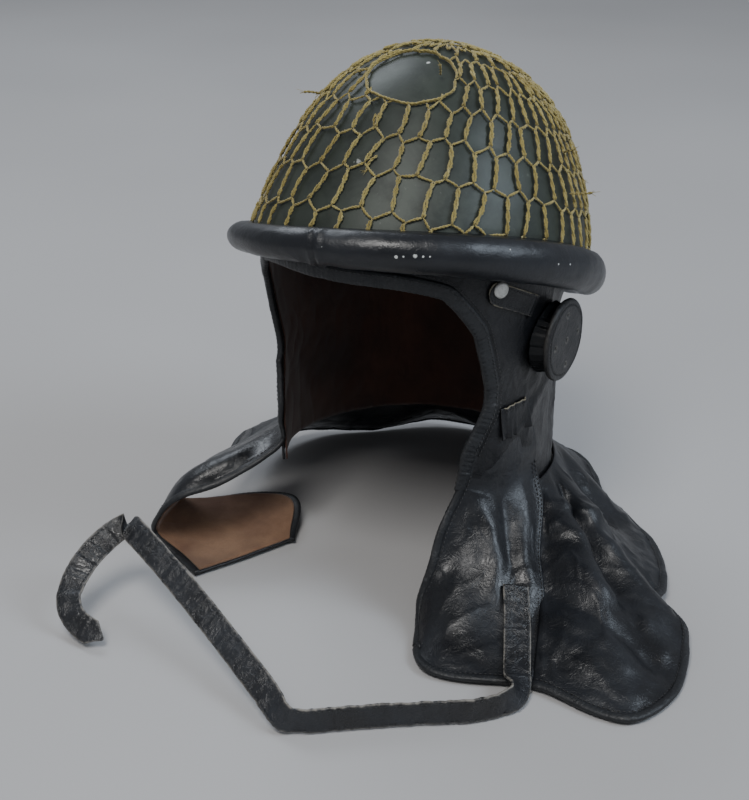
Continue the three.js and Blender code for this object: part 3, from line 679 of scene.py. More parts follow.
def paint_look(name, chips):
    look = Look(name)
    broad = look.noise(14.0, 5.0, 0.6)
    fine = look.noise(190.0, 6.0, 0.65)
    colour = look.mix(look.span(broad, 0.34, 0.68), rgb(0.026, 0.033, 0.026), rgb(0.050, 0.061, 0.050))
    patches = look.span(look.noise(38.0, 6.0, 0.7, 0.4), 0.46, 0.66, 0.0, 0.85)
    colour = look.mix(patches, colour, rgb(0.019, 0.024, 0.020))
    colour = look.mix(look.span(fine, 0.66, 0.76, 0.0, 0.5), colour, rgb(0.13, 0.145, 0.125))
    pits = look.cells(420.0)
    rusty = look.math("MULTIPLY", look.span(pits, 0.18, 0.1), look.span(look.noise(31.0, 3.0), 0.58, 0.66))
    colour = look.mix(look.math("MULTIPLY", rusty, 0.7), colour, rgb(0.07, 0.035, 0.018))
    scratch = look.noise(60.0, 2.0, 0.5, 0.0, (9.0, 9.0, 0.35))
    scratches = look.math("MULTIPLY", look.span(scratch, 0.71, 0.76), look.span(broad, 0.5, 0.62))
    colour = look.mix(look.math("MULTIPLY", scratches, 0.5), colour, rgb(0.17, 0.18, 0.165))
    look.set("Base Color", look.chipped(colour, 430.0, chips))
    look.set("Roughness", look.span(broad, 0.3, 0.75, 0.36, 0.58))
    look.set("Metallic", 0.15)
    look.set("Specular IOR Level", 0.45)
    look.bump((broad, 0.12, 2.0), (look.noise(330.0, 4.0), 0.2, 0.18), (fine, 0.14, 0.25))
    return look.material


def cord_look(name):
    look = Look(name)
    broad = look.noise(34.0, 4.0)
    fibre = look.noise(1300.0, 4.0, 0.7, 0.4)
    colour = look.mix(look.span(broad, 0.35, 0.66), rgb(0.285, 0.225, 0.062), rgb(0.42, 0.35, 0.115))
    colour = look.mix(look.span(fibre, 0.35, 0.72, 0.0, 0.6), colour, rgb(0.15, 0.118, 0.038))
    colour = look.mix(look.span(look.noise(150.0, 3.0), 0.6, 0.72, 0.0, 0.6), colour, rgb(0.52, 0.46, 0.22))
    look.set("Base Color", colour)
    look.set("Roughness", 0.94)
    look.set("Sheen Weight", 0.3)
    look.bump((fibre, 0.7, 0.35),)
    return look.material


def metal_look(name):
    look = Look(name)
    fine = look.noise(700.0, 5.0, 0.7)
    broad = look.noise(140.0, 4.0)
    colour = look.mix(look.span(broad, 0.35, 0.7), rgb(0.50, 0.50, 0.47), rgb(0.72, 0.72, 0.69))
    colour = look.mix(look.span(fine, 0.55, 0.75, 0.0, 0.5), colour, rgb(0.2, 0.19, 0.17))
    look.set("Base Color", colour)
    look.set("Metallic", 0.85)
    look.set("Roughness", look.span(broad, 0.3, 0.7, 0.32, 0.5))
    look.bump((fine, 0.25, 0.12),)
    return look.material


ROLL_CHIPS = [
    ((52.8, -115, 47), 0.9),
    ((56.5, -113, 47.4), 0.6),
    ((62, -109, 47.6), 1.1),
    ((66, -106.5, 47.3), 0.7),
    ((69, -104, 47.0), 0.5),
    ((10, -127.9, 48.9), 0.6),
    ((100.5, -64, 45), 0.6),
    ((110.5, -50, 40), 0.6),
    ((117.2, -31.6, 29.2), 0.7),
    ((120, -20, 26), 0.6),
]
SHELL_CHIPS = [
    ((4.4, -80.6, 89.4), 2.2),
    ((1.2, -81.4, 88.4), 1.7),
    ((6.6, -79.0, 91.2), 1.3),
    ((11.7, -9.9, 134.0), 1.3),
]
BLACK = rgb(0.0062, 0.0068, 0.0085)
BLUE_BLACK = rgb(0.0125, 0.0148, 0.0195)
leather = leather_look("hood_leather", BLACK, rgb(0.0095, 0.010, 0.012), 0.41, 0.9, 1.1, 0.15, 0.4)
glossy = leather_look("flap_leather", BLACK, BLUE_BLACK, 0.33, 0.55, 0.75, 0.08, 0.5)
ROLL_BLACK = rgb(0.007, 0.0085, 0.0115)
roll_leather = leather_look("roll_leather", ROLL_BLACK, BLUE_BLACK, 0.35, 0.6, 0.4, 0.3, 0.5, ROLL_CHIPS)
TRIM_DARK, TRIM_LIGHT = rgb(0.012, 0.013, 0.015), rgb(0.020, 0.022, 0.025)
trim = leather_look("trim_leather", TRIM_DARK, TRIM_LIGHT, 0.44, 1.0, 1.2, 1.0, 0.42)
ruched = leather_look("ruched_leather", BLACK, rgb(0.010, 0.0135, 0.0155), 0.5, 0.8, 0.5, 0.1, 0.3)
CUT_DARK, CUT_LIGHT = rgb(0.13, 0.115, 0.085), rgb(0.36, 0.33, 0.25)
cut_edge = leather_look("cut_edge_leather", CUT_DARK, CUT_LIGHT, 0.6, 0.6, 0.6, 0.2, 0.3)
STRAP_DARK, STRAP_LIGHT = rgb(0.011, 0.011, 0.012), rgb(0.019, 0.022, 0.028)
strap_leather = leather_look("strap_leather", STRAP_DARK, STRAP_LIGHT, 0.31, 1.0, 1.6, 0.4, 0.6)
RED_DARK, RED_LIGHT, RED_STAIN = rgb(0.035, 0.013, 0.008), rgb(0.075, 0.028, 0.016), rgb(0.02, 0.012, 0.01)
lining_red = suede_look("lining_red", RED_DARK, RED_LIGHT, RED_STAIN)
# The tan lining's dark and light colours are darkened throughout as painted shade for the deep inside of the
# right flap. Its stains are its own.
TAN_SHADED_DARK, TAN_SHADED_LIGHT, TAN_STAIN = rgb(0.13, 0.06, 0.032), rgb(0.30, 0.175, 0.10), rgb(0.05, 0.025, 0.015)
lining_tan_with_painted_shade = suede_look("lining_tan_with_painted_shade", TAN_SHADED_DARK, TAN_SHADED_LIGHT, TAN_STAIN)
paint = paint_look("helmet_paint", SHELL_CHIPS)
cord = cord_look("net_cord")
stud_metal = metal_look("stud_metal")
thread = leather_look("thread", rgb(0.02, 0.02, 0.021), rgb(0.055, 0.055, 0.056), 0.6, 1.0, 0.3, 0.2)


def belongs(piece, slot, *nodes):
    """Every piece moves with the one body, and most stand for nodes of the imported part."""
    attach(piece, ASSEMBLY_BODY)
    if nodes:
        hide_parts(*nodes)
    return piece


# The steel dome.
def make_dome():
    columns, rows = 180, 84
    bearings = np.arange(columns) * 360 / columns
    t = np.linspace(0, len(SHELL_ROWS) - 1, rows)[:, None]
    dent = 0.25 * waves(shell_point(t, bearings[None, :], 0.0), 38, 11)
    outer = shell_point(t, bearings[None, :], dent - 0.25)
    inner = shell_point(t[::-1], bearings[None, :], -SHELL_WALL)
    grid = np.concatenate([outer, inner])
    faces = grid_faces(len(grid), columns, True) + closing_ring(len(grid), columns)
    return belongs(finish_mesh("steel_dome", grid, faces, paint), "steel", "steel_shell")


make_dome()

# The net: rows of knots joined by forked bars, with a torn hole at the front of the crown.
NET_BARS = 40
NET_ROW_HEIGHTS = (31, 56, 78, 98.5, 116, 129, 137)
CROWN_HEIGHT = 140.7
NET_DROOP = 8.0
NET_DROOP_FROM = 25.0
NET_SKEW = 1.7
NET_ZIGZAG = 2.6
NET_SKEW_TOWARDS = 20
NET_FOOT_DROP = 9
NET_STEP = 1.7
PLY_RADIUS = 0.6
PLY_PITCH = 4.6
BAR_PITCH = 15.0
HOLE_CENTRE = np.array([8.0, -62.0, 114.0])
HOLE_HALVES = np.array([28.0, 22.0, 28.0])
# The hole's middle by bearing and height, how far its edge is searched for, and the highest point used.
HOLE_MIDDLE = np.array([7.4, 116.0])
HOLE_SEARCH = np.array([60.0, 45.0])
HOLE_TOP = 140.5
# Loose ends: bearing and height in the helmet's frame, then how the end runs.
LooseEnd = namedtuple("LooseEnd", "bearing height away length")
LOOSE_ENDS = [
    LooseEnd(2, 88, (0.3, -0.5, -1.0), 12),
    LooseEnd(14.5, 93, (0.05, -0.5, -1.0), 13),
    LooseEnd(9, 64, (-0.5, -0.7, -1.0), 13),
    LooseEnd(-31, 114, (1.0, -0.4, 0.1), 12),
    LooseEnd(24, 117, (0.3, -0.6, 0.9), 10),
    LooseEnd(92, 60, (1.0, 0.3, 0.1), 15),
    LooseEnd(98, 84, (1.0, -0.2, 0.5), 9),
    LooseEnd(-58, 96, (-1.0, -0.5, 0.1), 12),
    LooseEnd(-66, 101, (-0.8, -0.6, -0.5), 9),
    LooseEnd(150, 70, (0.5, 0.9, -0.4), 10),
    LooseEnd(215, 92, (-0.5, 0.9, 0.3), 10),
]


def in_hole(points):
    return (((shell_frame(points) - HOLE_CENTRE) / HOLE_HALVES) ** 2).sum(-1) < 1


def on_shell(bearing, height, margin):
    """Points just off the dome, and their normals."""
    t = shell_row_at(bearing, height)
    point = shell_point(t, bearing, margin)
    return point, unit(shell_point(t, bearing, margin + 2.0) - point)


class Net:
    def __init__(self):
        self.strands = Strands()
        self.chance = random.Random(41)

    def cord(self, start, end, margin=1.25, sag=0.0, side=0.0):
        """One cord between two (bearing, height) knots, over the dome."""
        ends = [on_shell(np.array([b]), np.array([h]), margin)[0][0] for b, h in (start, end)]
        count = max(4, int(np.linalg.norm(ends[1] - ends[0]) / NET_STEP) + 1)
        share = np.linspace(0, 1, count)
        bow = np.sin(math.pi * share)
        bearing = start[0] + (end[0] - start[0]) * share + side * bow
        height = start[1] + (end[1] - start[1]) * share - sag * bow
        return on_shell(bearing, height, margin + 0.15 * bow)

    def lay(self, path, normals, phase=None):
        keep = ~in_hole(path)
        if keep.sum() < 3:
            return
        path, normals = path[keep], normals[keep]
        phase = self.chance.uniform(0, 6.28) if phase is None else phase
        self.strands.add_twisted(path, normals, PLY_RADIUS, PLY_PITCH, phase)

    def single(self, start, end):
        self.lay(*self.cord(start, end, 1.2, self.chance.uniform(-0.5, 0.8)))

    def bar(self, start, end):
        """Two cords laid loosely round each other."""
        path, normals = self.cord(start, end, 1.7, 0.0, self.chance.uniform(-0.9, 0.9))
        tangents = unit(np.gradient(path, axis=0))
        side = np.cross(tangents, normals)
        turns = lengths_along(path) * 2 * math.pi / BAR_PITCH + self.chance.uniform(0, 6.28)
        for sign in (1, -1):
            off = sign * (0.85 * np.cos(turns)[:, None] * side + 0.42 * np.sin(turns)[:, None] * normals)
            self.lay(path + off, normals)

    def knots(self):
        """A knot's bearing and height, by row and place."""
        knots = []
        places = 2 * NET_BARS
        for row, base in enumerate(NET_ROW_HEIGHTS):
            line = []
            for place in range(places):
                turn = 360 * place / places
                bearing = turn + NET_SKEW * row * math.cos(math.radians(turn - NET_SKEW_TOWARDS))
                away = min(90, abs((bearing - NET_DROOP_FROM + 180) % 360 - 180))
                droop = NET_DROOP * math.sin(math.radians(away)) ** 2 * (1 - row / len(NET_ROW_HEIGHTS))
                height = base - droop
                lift = NET_ZIGZAG if (place + row) % 2 == 0 else -NET_ZIGZAG
                fade = 1 - 0.55 * row / len(NET_ROW_HEIGHTS)
                bearing += self.chance.uniform(-1.5, 1.5)
                height += lift * fade + self.chance.uniform(-2.0, 2.0) * fade
                line.append((bearing, height))
            knots.append(line)
        return knots

    def out_from_hole(self, off):
        """The point of the dome, and its normal, at an offset from the hole's middle."""
        bearing, height = HOLE_MIDDLE + off
        return on_shell(np.array([bearing]), np.array([min(height, HOLE_TOP)]), 1.3)

    def torn_edge(self):
        """The cord round the hole, found by walking out from the hole's middle."""
        path, normals = [], []
        for turn in np.linspace(0, 2 * math.pi, 90):
            step = np.array([math.cos(turn), math.sin(turn)]) * HOLE_SEARCH
            low, high = 0.0, 1.0
            for _ in range(20):
                share = (low + high) / 2
                point = self.out_from_hole(share * step)[0]
                low, high = (share, high) if in_hole(point)[0] else (low, share)
            share *= 1 + 0.05 * abs(math.sin(turn * 3.5)) + 0.03 * abs(math.sin(turn * 6.5 + 0.6))
            point, normal = self.out_from_hole(share * step)
            wobble = 0.5 * math.sin(turn * 7) + 0.4 * math.sin(turn * 11 + 1)
            path.append(point[0] + normal[0] * 0.2 * wobble)
            normals.append(normal[0])
        return np.array(path), np.array(normals)

    def loose(self, end):
        start, normal = on_shell(np.array([end.bearing]), np.array([end.height]), 1.6)
        away = unit(np.array(end.away, float))
        share = np.linspace(0, 1, 14)
        bend = np.cross(away, normal[0]) * 0.22
        path = start[0] + share[:, None] * away * end.length
        curl = np.sin(share * 4.0)[:, None] * bend + (share * (1 - share))[:, None] * normal[0]
        path = path + curl * end.length * 0.4
        normals = np.repeat(normal, len(path), axis=0)
        self.strands.add_twisted(path, normals, PLY_RADIUS * 0.9, PLY_PITCH * 1.3, 0.0)
        for fibre in range(5):
            spread = np.array([self.chance.uniform(-1, 1) for _ in range(3)]) * 2.6
            tip = path[-3] + np.linspace(0, 1, 6)[:, None] * (away * 3.4 + spread)
            self.strands.add(tip, np.repeat(normal, 6, axis=0), 0.16, 3)

    def build(self):
        knots = self.knots()
        places = 2 * NET_BARS
        rows = len(knots)
        for place in range(places):
            if place % 2 == 1:
                bearing, height = knots[0][place]
                foot = 3 + float(rim_lift(bearing)) + NET_EDGE - NET_FOOT_DROP
                self.bar((bearing + self.chance.uniform(-1, 1), foot), (bearing, height))
        for row in range(rows):
            gathered = row >= rows - 2
            for place in range(places):
                here = knots[row][place]
                bearing, height = knots[row][(place + 1) % places]
                self.single(here, (bearing + (360 if place == places - 1 else 0), height))
                if (place + row) % 2 == 0 and row < rows - 1:
                    above = knots[row + 1][place]
                    if gathered and place % 4 != row % 2:
                        continue
                    self.bar(here, above)
        for place in range(0, places, 4):
            bearing, height = knots[-1][place]
            self.bar((bearing, height), (bearing + self.chance.uniform(-6, 6), CROWN_HEIGHT))
        ring = np.linspace(0, 360, 50)
        path, normals = on_shell(ring, np.full(50, CROWN_HEIGHT), 2.2)
        self.strands.add_twisted(path, normals, PLY_RADIUS * 1.1, PLY_PITCH, 0.0)
        path, normals = self.torn_edge()
        self.strands.add_twisted(path, normals, PLY_RADIUS * 1.1, PLY_PITCH, 0.0)
        self.strands.add_twisted(path + normals * 0.9, normals, PLY_RADIUS * 0.9, PLY_PITCH * 1.4, 2.0)
        for end in LOOSE_ENDS:
            self.loose(end)
        return belongs(self.strands.build("net_cords", cord), "net_cord", "camouflage_net")


Net().build()

# The padded roll round the shell's edge, with the joint of its cover at the front.
ROLL_COLUMNS = 400
ROLL_ARC = 34
SLOT_HALF_ANGLE = 12
SLOT_FLOOR, SLOT_TOP, SLOT_GAP, GAP = -2.7, 6.0, 0.5, 0.3
JOINT_BEARING = 1.5


def shell_wall(level, bearing, margin):
    """Distance of the shell's face from the axis at a level, by bearing."""
    table = {name: [getattr(row, name) for row in SHELL_ROWS] for name in ShellRow._fields}
    row = {name: np.interp(level, table["level"], column) for name, column in table.items()}
    return reach(row, bearing, margin)


def make_roll():
    bearings = np.arange(ROLL_COLUMNS) * 360 / ROLL_COLUMNS
    centre_row = {"side": ROLL_SIDE, "front": ROLL_FRONT, "back": ROLL_BACK}
    centre = reach(centre_row, bearings, 0.0)
    half = ROLL_HALF + ROLL_SWELL * np.cos(np.radians(bearings - ROLL_SWELL_TOWARDS))
    swept = 360 - 2 * SLOT_HALF_ANGLE
    sweep = np.radians(90 - SLOT_HALF_ANGLE - swept * np.arange(ROLL_ARC + 1) / ROLL_ARC)
    out = centre[:, None] + ROLL_RADIUS * np.cos(sweep)
    level = half[:, None] * np.sin(sweep)
    lip = level[:, 0]
    inner = -SHELL_WALL - SLOT_GAP
    out[:, 0] = [shell_wall(z, b, SLOT_GAP) + GAP for z, b in zip(lip, bearings)]
    out[:, -1] = [shell_wall(z, b, inner) - GAP for z, b in zip(lip, bearings)]
    for z, margin in ((SLOT_TOP, inner), (SLOT_FLOOR, inner), (SLOT_FLOOR, SLOT_GAP), (SLOT_TOP, SLOT_GAP)):
        out = np.hstack([out, shell_wall(z, bearings, margin)[:, None]])
        level = np.hstack([level, np.full((ROLL_COLUMNS, 1), z)])
    plain = lean_back(around(out, bearings[:, None], level + rim_lift(bearings)[:, None]))
    covered = plain[:, : ROLL_ARC + 1]
    middle = covered[:, 1:-1].mean(1, keepdims=True)
    outward = unit(covered - middle)
    puff = 0.5 * waves(covered, 30, 21) + 0.22 * waves(covered, 9, 22)
    along = (bearings - JOINT_BEARING + 180) % 360 - 180
    along = (along * math.pi / 180 * 130)[:, None] + 1.2 * np.sin(sweep * 2)[None, :]
    puff = puff + 1.3 * bump(along - 2.6, 1.5) + 0.9 * bump(along + 2.8, 1.6) - 1.0 * bump(along, 0.9)
    gather = np.sin(sweep * 24)[None, :] * 0.28 * bump(along, 7.0)
    puff = puff + gather + 0.5 * creases(covered, 16, 23, (0.6, 0.6, 2.2), 5) * bump(along, 45)
    puff = puff + 0.35 * creases(covered, 40, 24, (0.5, 0.5, 2.0), 6)
    calm = np.ones(ROLL_ARC + 1)
    calm[[0, 1, -2, -1]] = (0.0, 0.4, 0.4, 0.0)
    plain[:, : ROLL_ARC + 1] = covered + outward * ((puff - 0.4) * calm)[..., None]
    grid = plain.transpose(1, 0, 2)
    faces = grid_faces(len(grid), ROLL_COLUMNS, True) + closing_ring(len(grid), ROLL_COLUMNS)
    made = finish_mesh("padded_roll", grid, faces, roll_leather)
    return belongs(made, "leather", "rim_roll")


make_roll()


# The hood and its lining share one grid, from the hem up over the crown.
MM_PER_DEGREE = 1.75


def face_edge(step):
    """The edge of the face opening, from the brow down: half angle and height."""
    points = np.array([(row.half * MM_PER_DEGREE, row.height) for row in FACE_ROWS])
    fine = through(points, np.linspace(0, len(points) - 1, 400))
    even = even_steps(fine, step)
    return even[:, 0] / MM_PER_DEGREE, even[:, 1]


HOOD_COLUMNS = 300
HOOD_CAP_ROWS = 26
BINDING_RADIUS = 2.9


def hood_grid(margin, inset):
    """Points of a hood wall whose face opening is cut back by an inset."""
    half, height = face_edge(2.6)
    half, height = np.maximum(half[::-1], 0), height[::-1]
    foot = height[0]
    share = ((height - foot) / (height[-1] - foot))[:, None]
    opening = np.where(half > 0.5, half + math.degrees(inset / 100.0), half)[:, None]
    across = np.linspace(0, 1, HOOD_COLUMNS)[None, :]
    bearing = opening + across * (360 - 2 * opening)
    hem = hem_height(bearing)
    level = hem + share * (height[-1] + inset - hem)
    skirt = hood_point(bearing, level, margin)
    top = hood_row_at(bearing[-1], level[-1])
    bare_last = len(HOOD_ROWS) - 1
    cap = []
    for step in range(1, HOOD_CAP_ROWS + 1):
        t = top + (bare_last - top) * step / HOOD_CAP_ROWS
        bare = hood_plain(t, bearing[-1])
        cap.append(hood_plain(t, bearing[-1], margin + hood_slack(bare) * SLACK))
    return np.concatenate([skirt, np.array(cap)])


def make_hood(name, margin, thickness, material, slot, node):
    grid = hood_grid(margin, BINDING_RADIUS * 0.5)
    made = surface(name, grid, material, thickness)
    turn_outward(made, 0.02)
    return belongs(made, slot, node)


lining_margin = -LEATHER - LINING_GAP - LINING / 2
make_hood("leather_hood_skin", -LEATHER / 2, LEATHER, leather, "leather", "leather_hood")
make_hood("hood_lining_skin", lining_margin, LINING, lining_red, "red_lining", "hood_lining")


BINDING_ENDS_AT = -128.0
BINDING_TAPER = 26.0
BINDING_JOINS_AT = -92.0


def make_binding():
    """The folded strip round the face opening, with a row of stitches beside it."""
    half, height = face_edge(1.2)
    half, height = np.maximum(half[height > BINDING_ENDS_AT], 0), height[height > BINDING_ENDS_AT]
    sides = [hood_point(sign * half, height, -LEATHER / 2) for sign in (-1, 1)]
    edge = np.concatenate([sides[0][::-1], sides[1][1:]])
    edge = even_steps(edge, 1.1)
    tangents = unit(np.gradient(edge, axis=0))
    flat = edge * np.array([1, 1, 0])
    outward = unit(flat)
    inward = unit(np.cross(tangents, outward))
    centre = edge + inward * (BINDING_RADIUS + 0.3)
    count = np.arange(len(centre))
    pucker = 0.16 * np.sin(count * 1.9) + 0.12 * waves(centre, 7, 31)
    join = np.clip((BINDING_JOINS_AT - centre[:, 2]) / (BINDING_JOINS_AT - BINDING_ENDS_AT), 0, 1)
    join = eased(join)[:, None]
    for side, control in ((1, LEFT_FLAP_CONTROL), (-1, RIGHT_FLAP_CONTROL)):
        front = patch_at([*flap_roots(side), *control], np.zeros(200), np.linspace(0, 1, 200))
        level = -centre[:, 2]
        target = np.stack([np.interp(level, -front[:, 2], front[:, axis]) for axis in range(3)], -1)
        target = target + inward * 1.2
        own = (centre[:, 0] * side > 0)[:, None]
        centre = np.where(own, centre * (1 - join) + target * join, centre)
    taper = 0.45 + 0.55 * np.clip((centre[:, 2] - BINDING_ENDS_AT) / BINDING_TAPER, 0, 1)
    middle = centre - inward * (2.4 * taper)[:, None] + outward * 0.25
    half_width, half_thick = 5.2 * taper + pucker, 2.4 * taper + pucker
    made = band("face_opening_binding", middle, inward, half_width, half_thick, trim, 20, 3.0)
    belongs(made, "leather", "face_binding")
    seams = Strands()
    wide = taper > 0.97
    for away, up in ((9.6, 1.5), (5.6, 2.75)):
        line = centre - inward * away + outward * up
        lay_stitches(seams, line[wide], outward[wide], 2.9, 1.9, 0.3)
    belongs(seams.build("binding_stitches", thread), "leather")


def lay_stitches(strands, path, normals, spacing, length, radius):
    """Short raised threads along a line."""
    lengths = lengths_along(path)
    normals = np.broadcast_to(normals, path.shape)
    at = lambda s, values: np.stack([np.interp(s, lengths, values[:, axis]) for axis in range(3)], -1)
    for start in np.arange(spacing, lengths[-1] - length - 0.5, spacing):
        s = start + np.linspace(0, length, 4)
        up = unit(at(s, normals))
        lift = np.array([-0.3, 0.1, 0.1, -0.3])[:, None] * radius * 2
        strands.add(at(s, path) + up * lift, up, radius, 5)



# Sheets of leather that hang below the hood.
def patch(control, across, down):
    """A smooth grid through rows of control points, by shares across and down."""
    control = np.asarray(control, float)
    rows, columns = control.shape[:2]
    lines = np.stack([through(row, across * (columns - 1)) for row in control])
    flat = lines.reshape(rows, -1)
    found = through(flat, down * (rows - 1))
    return found.reshape(len(down), len(across), 3)


def rounded(count_across, count_down, corner_across, corner_down):
    """Shares across and down whose lower front corner is rounded off."""
    down = np.linspace(0, 1, count_down)
    low = np.clip((down - (1 - corner_down)) / corner_down, 0, 1)
    start = corner_across * (1 - np.sqrt(1 - low**2))
    across = start[:, None] + np.linspace(0, 1, count_across)[None, :] * (1 - start)[:, None]
    return across, np.repeat(down[:, None], count_across, axis=1)


PATCH_CELLS = 160


def patch_at(control, across, down):
    """The same smooth grid at any pairs of shares."""
    shares = np.linspace(0, 1, PATCH_CELLS + 1)
    fine = patch(control, shares, shares)
    u = np.clip(across, 0, 1) * PATCH_CELLS
    v = np.clip(down, 0, 1) * PATCH_CELLS
    u0, v0 = np.minimum(u.astype(int), PATCH_CELLS - 1), np.minimum(v.astype(int), PATCH_CELLS - 1)
    fu, fv = (u - u0)[..., None], (v - v0)[..., None]
    low = fine[v0, u0] * (1 - fu) + fine[v0, u0 + 1] * fu
    high = fine[v0 + 1, u0] * (1 - fu) + fine[v0 + 1, u0 + 1] * fu
    return low * (1 - fv) + high * fv


Fold = namedtuple("Fold", "points rise width")


def folded(grid, folds, outward):
    """Raises ridges and hollows along lines near a grid."""
    off = np.zeros(grid.shape[:2])
    for fold in folds:
        best = np.full(grid.shape[:2], 1e9)
        reached = np.zeros(grid.shape[:2])
        spans = list(zip(fold.points, fold.points[1:]))
        for number, (start, end) in enumerate(spans):
            distance, share = near_line(grid, start, end)
            closer = distance < best
            best = np.where(closer, distance, best)
            reached = np.where(closer, (number + share) / len(spans), reached)
        off += fold.rise * bump(best, fold.width) * np.sqrt(np.sin(math.pi * (0.08 + 0.84 * reached)))
    return grid + off[..., None] * outward


def above_table(grid, clear=1.3):
    """Keeps a sheet's middle clear of the table."""
    kept = grid.copy()
    floor = TABLE_LEVEL + clear
    low = kept[..., 2] < floor + 3
    sunk = np.minimum(0, (kept[..., 2] - floor - 3) / 3)
    kept[..., 2] = np.where(low, floor + 3 * np.exp(sunk), kept[..., 2])
    return kept


def flap_seat(side):
    ends = np.array(FLAP_BEARINGS, float) * side
    t = hood_row_at(ends, np.full(3, float(FLAP_HEIGHT)))
    return hood_plain(t, ends, FLAP_MARGIN + LEATHER / 2).tolist()


def edge_lines(grid, sides):
    """The border of a grid as one line, with the direction into the sheet at each point."""
    rows, columns = grid.shape[:2]
    parts = {
        "front": [(r, 0) for r in range(rows)],
        "hem": [(rows - 1, c) for c in range(columns)],
        "rear": [(r, columns - 1) for r in reversed(range(rows))],
    }
    inner = {"front": (0, 1), "hem": (-1, 0), "rear": (0, -1)}
    line, inward = [], []
    for side in sides:
        for r, c in parts[side]:
            line.append(grid[r, c])
            dr, dc = inner[side]
            inward.append(grid[r + dr * 2, c + dc * 2] - grid[r, c])
    return np.array(line), unit(np.array(inward))


def bound_edge(name, grid, normals, sides, inset=2.0, half_width=2.9, half_thick=1.9, stitches=True, seed=0):
    """A folded binding over a sheet's border, and the stitches beside it."""
    line, inward = edge_lines(grid, sides)
    up, _ = edge_lines(normals + 0 * grid, sides)
    both = even_steps(np.hstack([line, inward, up]), 1.1)
    line, inward, up = both[:, :3], unit(both[:, 3:6]), unit(both[:, 6:])
    for _ in range(6):
        line[1:-1] = (line[:-2] + line[1:-1] + line[2:]) / 3
        inward[1:-1] = unit(inward[:-2] + inward[1:-1] + inward[2:])
        up[1:-1] = unit(up[:-2] + up[1:-1] + up[2:])
    path = line + inward * inset
    count = np.arange(len(path))
    pucker = 0.14 * np.sin(count * 2.1 + np.sin(count * 0.3)) + 0.3 * waves(path, 9, 51 + seed)
    made = band(name, path, inward, half_width + 0.5 * pucker, half_thick + pucker * 0.6, trim, 14, 2.3)
    belongs(made, "leather")
    pieces = [made]
    if stitches:
        seams = Strands()
        lay_stitches(seams, path + inward * (half_width + 1.0) + up * 1.25, up, 3.1, 2.1, 0.33)
        pieces.append(belongs(seams.build(name + "_stitches", thread), "leather"))
    return pieces


def outward_from(grid, centre):
    """Grid normals turned away from a point, which is inside the object."""
    normals = grid_normals(grid)
    facing = ((grid - np.array(centre, float)) * normals).sum(-1).mean()
    return normals if facing > 0 else -normals


INSIDE = (0, 0, -140)
LEFT_FLAP_FOLDS = [
    Fold([(80, -56, -134), (92, -58, -150), (104, -68, -168), (108, -84, -182)], 3.0, 6.5),
    Fold([(90, -36, -134), (101, -48, -152), (111, -63, -169)], -3.2, 6.0),
    Fold(
        [(97, -20, -136), (106, -33, -153), (114, -54, -168), (127, -66, -180), (128, -88, -190)],
        3.2,
        6.5,
    ),
    Fold([(72, -74, -140), (76, -84, -166), (78, -96, -190)], -1.6, 8),
    Fold([(84, -92, -180), (104, -110, -196), (120, -120, -202)], 1.6, 9),
    Fold([(112, -20, -150), (124, -44, -170)], -1.4, 5),
]
# The flap is one with the hood above its seam, so its first rows lie on the hood and sink into it.
FLAP_ROOTS = [(-96, (55.5, 69, 89), -1.1), (-113, (50.5, 67, 90), 0.2)]
LEFT_FLAP_CONTROL = [flap_seat(1), *LEFT_FLAP_ROWS]
RIGHT_FLAP_CONTROL = [flap_seat(-1), *RIGHT_FLAP_ROWS]


def flap_roots(side):
    rows = []
    for height, ends, margin in FLAP_ROOTS:
        bearing = np.array(ends, float) * side
        rows.append(hood_point(bearing, np.full(3, float(height)), margin).tolist())
    return rows


make_binding()


def make_left_flap():
    across, down = rounded(84, 130, 0.26, 0.15)
    grid = patch_at([*flap_roots(1), *LEFT_FLAP_CONTROL], across, down)
    outward = outward_from(grid, INSIDE)
    grid = folded(grid, LEFT_FLAP_FOLDS, outward)
    slack = 1.1 * waves(grid, 32, 61) + 0.4 * waves(grid, 13, 62) + 0.5 * creases(grid, 24, 63, (1, 1, 1), 5)
    sewn = np.clip(down / 0.3, 0, 1) * np.clip((1 - across) / 0.1, 0.2, 1)
    grid = above_table(grid + outward * (slack * sewn)[..., None], 2.6)
    made = surface("left_flap_skin", grid, glossy, LEATHER)
    belongs(made, "leather", "left_cheek_flap")
    below = int(np.argmax(grid[:, 0, 2] < BINDING_ENDS_AT + 14))
    trims = bound_edge("left_flap_binding", grid[below:], outward[below:], ("front", "hem"), seed=1)
    line, inward = edge_lines(grid, ("rear",))
    up, _ = edge_lines(outward, ("rear",))
    seams = Strands()
    for inset in (1.8, 4.6):
        lay_stitches(seams, (line + inward * inset + up * 1.25)[:-34], up[:-34], 3.0, 2.0, 0.32)
    trims.append(belongs(seams.build("left_flap_seam_stitches", thread), "leather"))
    hangs = grid[:, -1, 2] < CAPE_TOP
    return (grid[:, -1] - outward[:, -1] * SEAM_TUCK)[hangs]


# The cape starts under the rear edge of the left flap.
CAPE_FRONT_SEAM = [(92, 2, -141), (119, -44, -170), (156, -132, -205.5)]
CAPE_TOP = -138.0
SEAM_TUCK = 2.3
SEAM_COLUMNS = 16
flap_rear = make_left_flap()

RIGHT_FLAP_FOLDS = [
    Fold([(-100, -84, -137), (-120, -104, -150), (-138, -108, -176)], 1.8, 8),
    Fold([(-112, -50, -140), (-138, -62, -156), (-150, -72, -180)], 1.6, 8),
]


RIGHT_LINING_TOP = -134.0


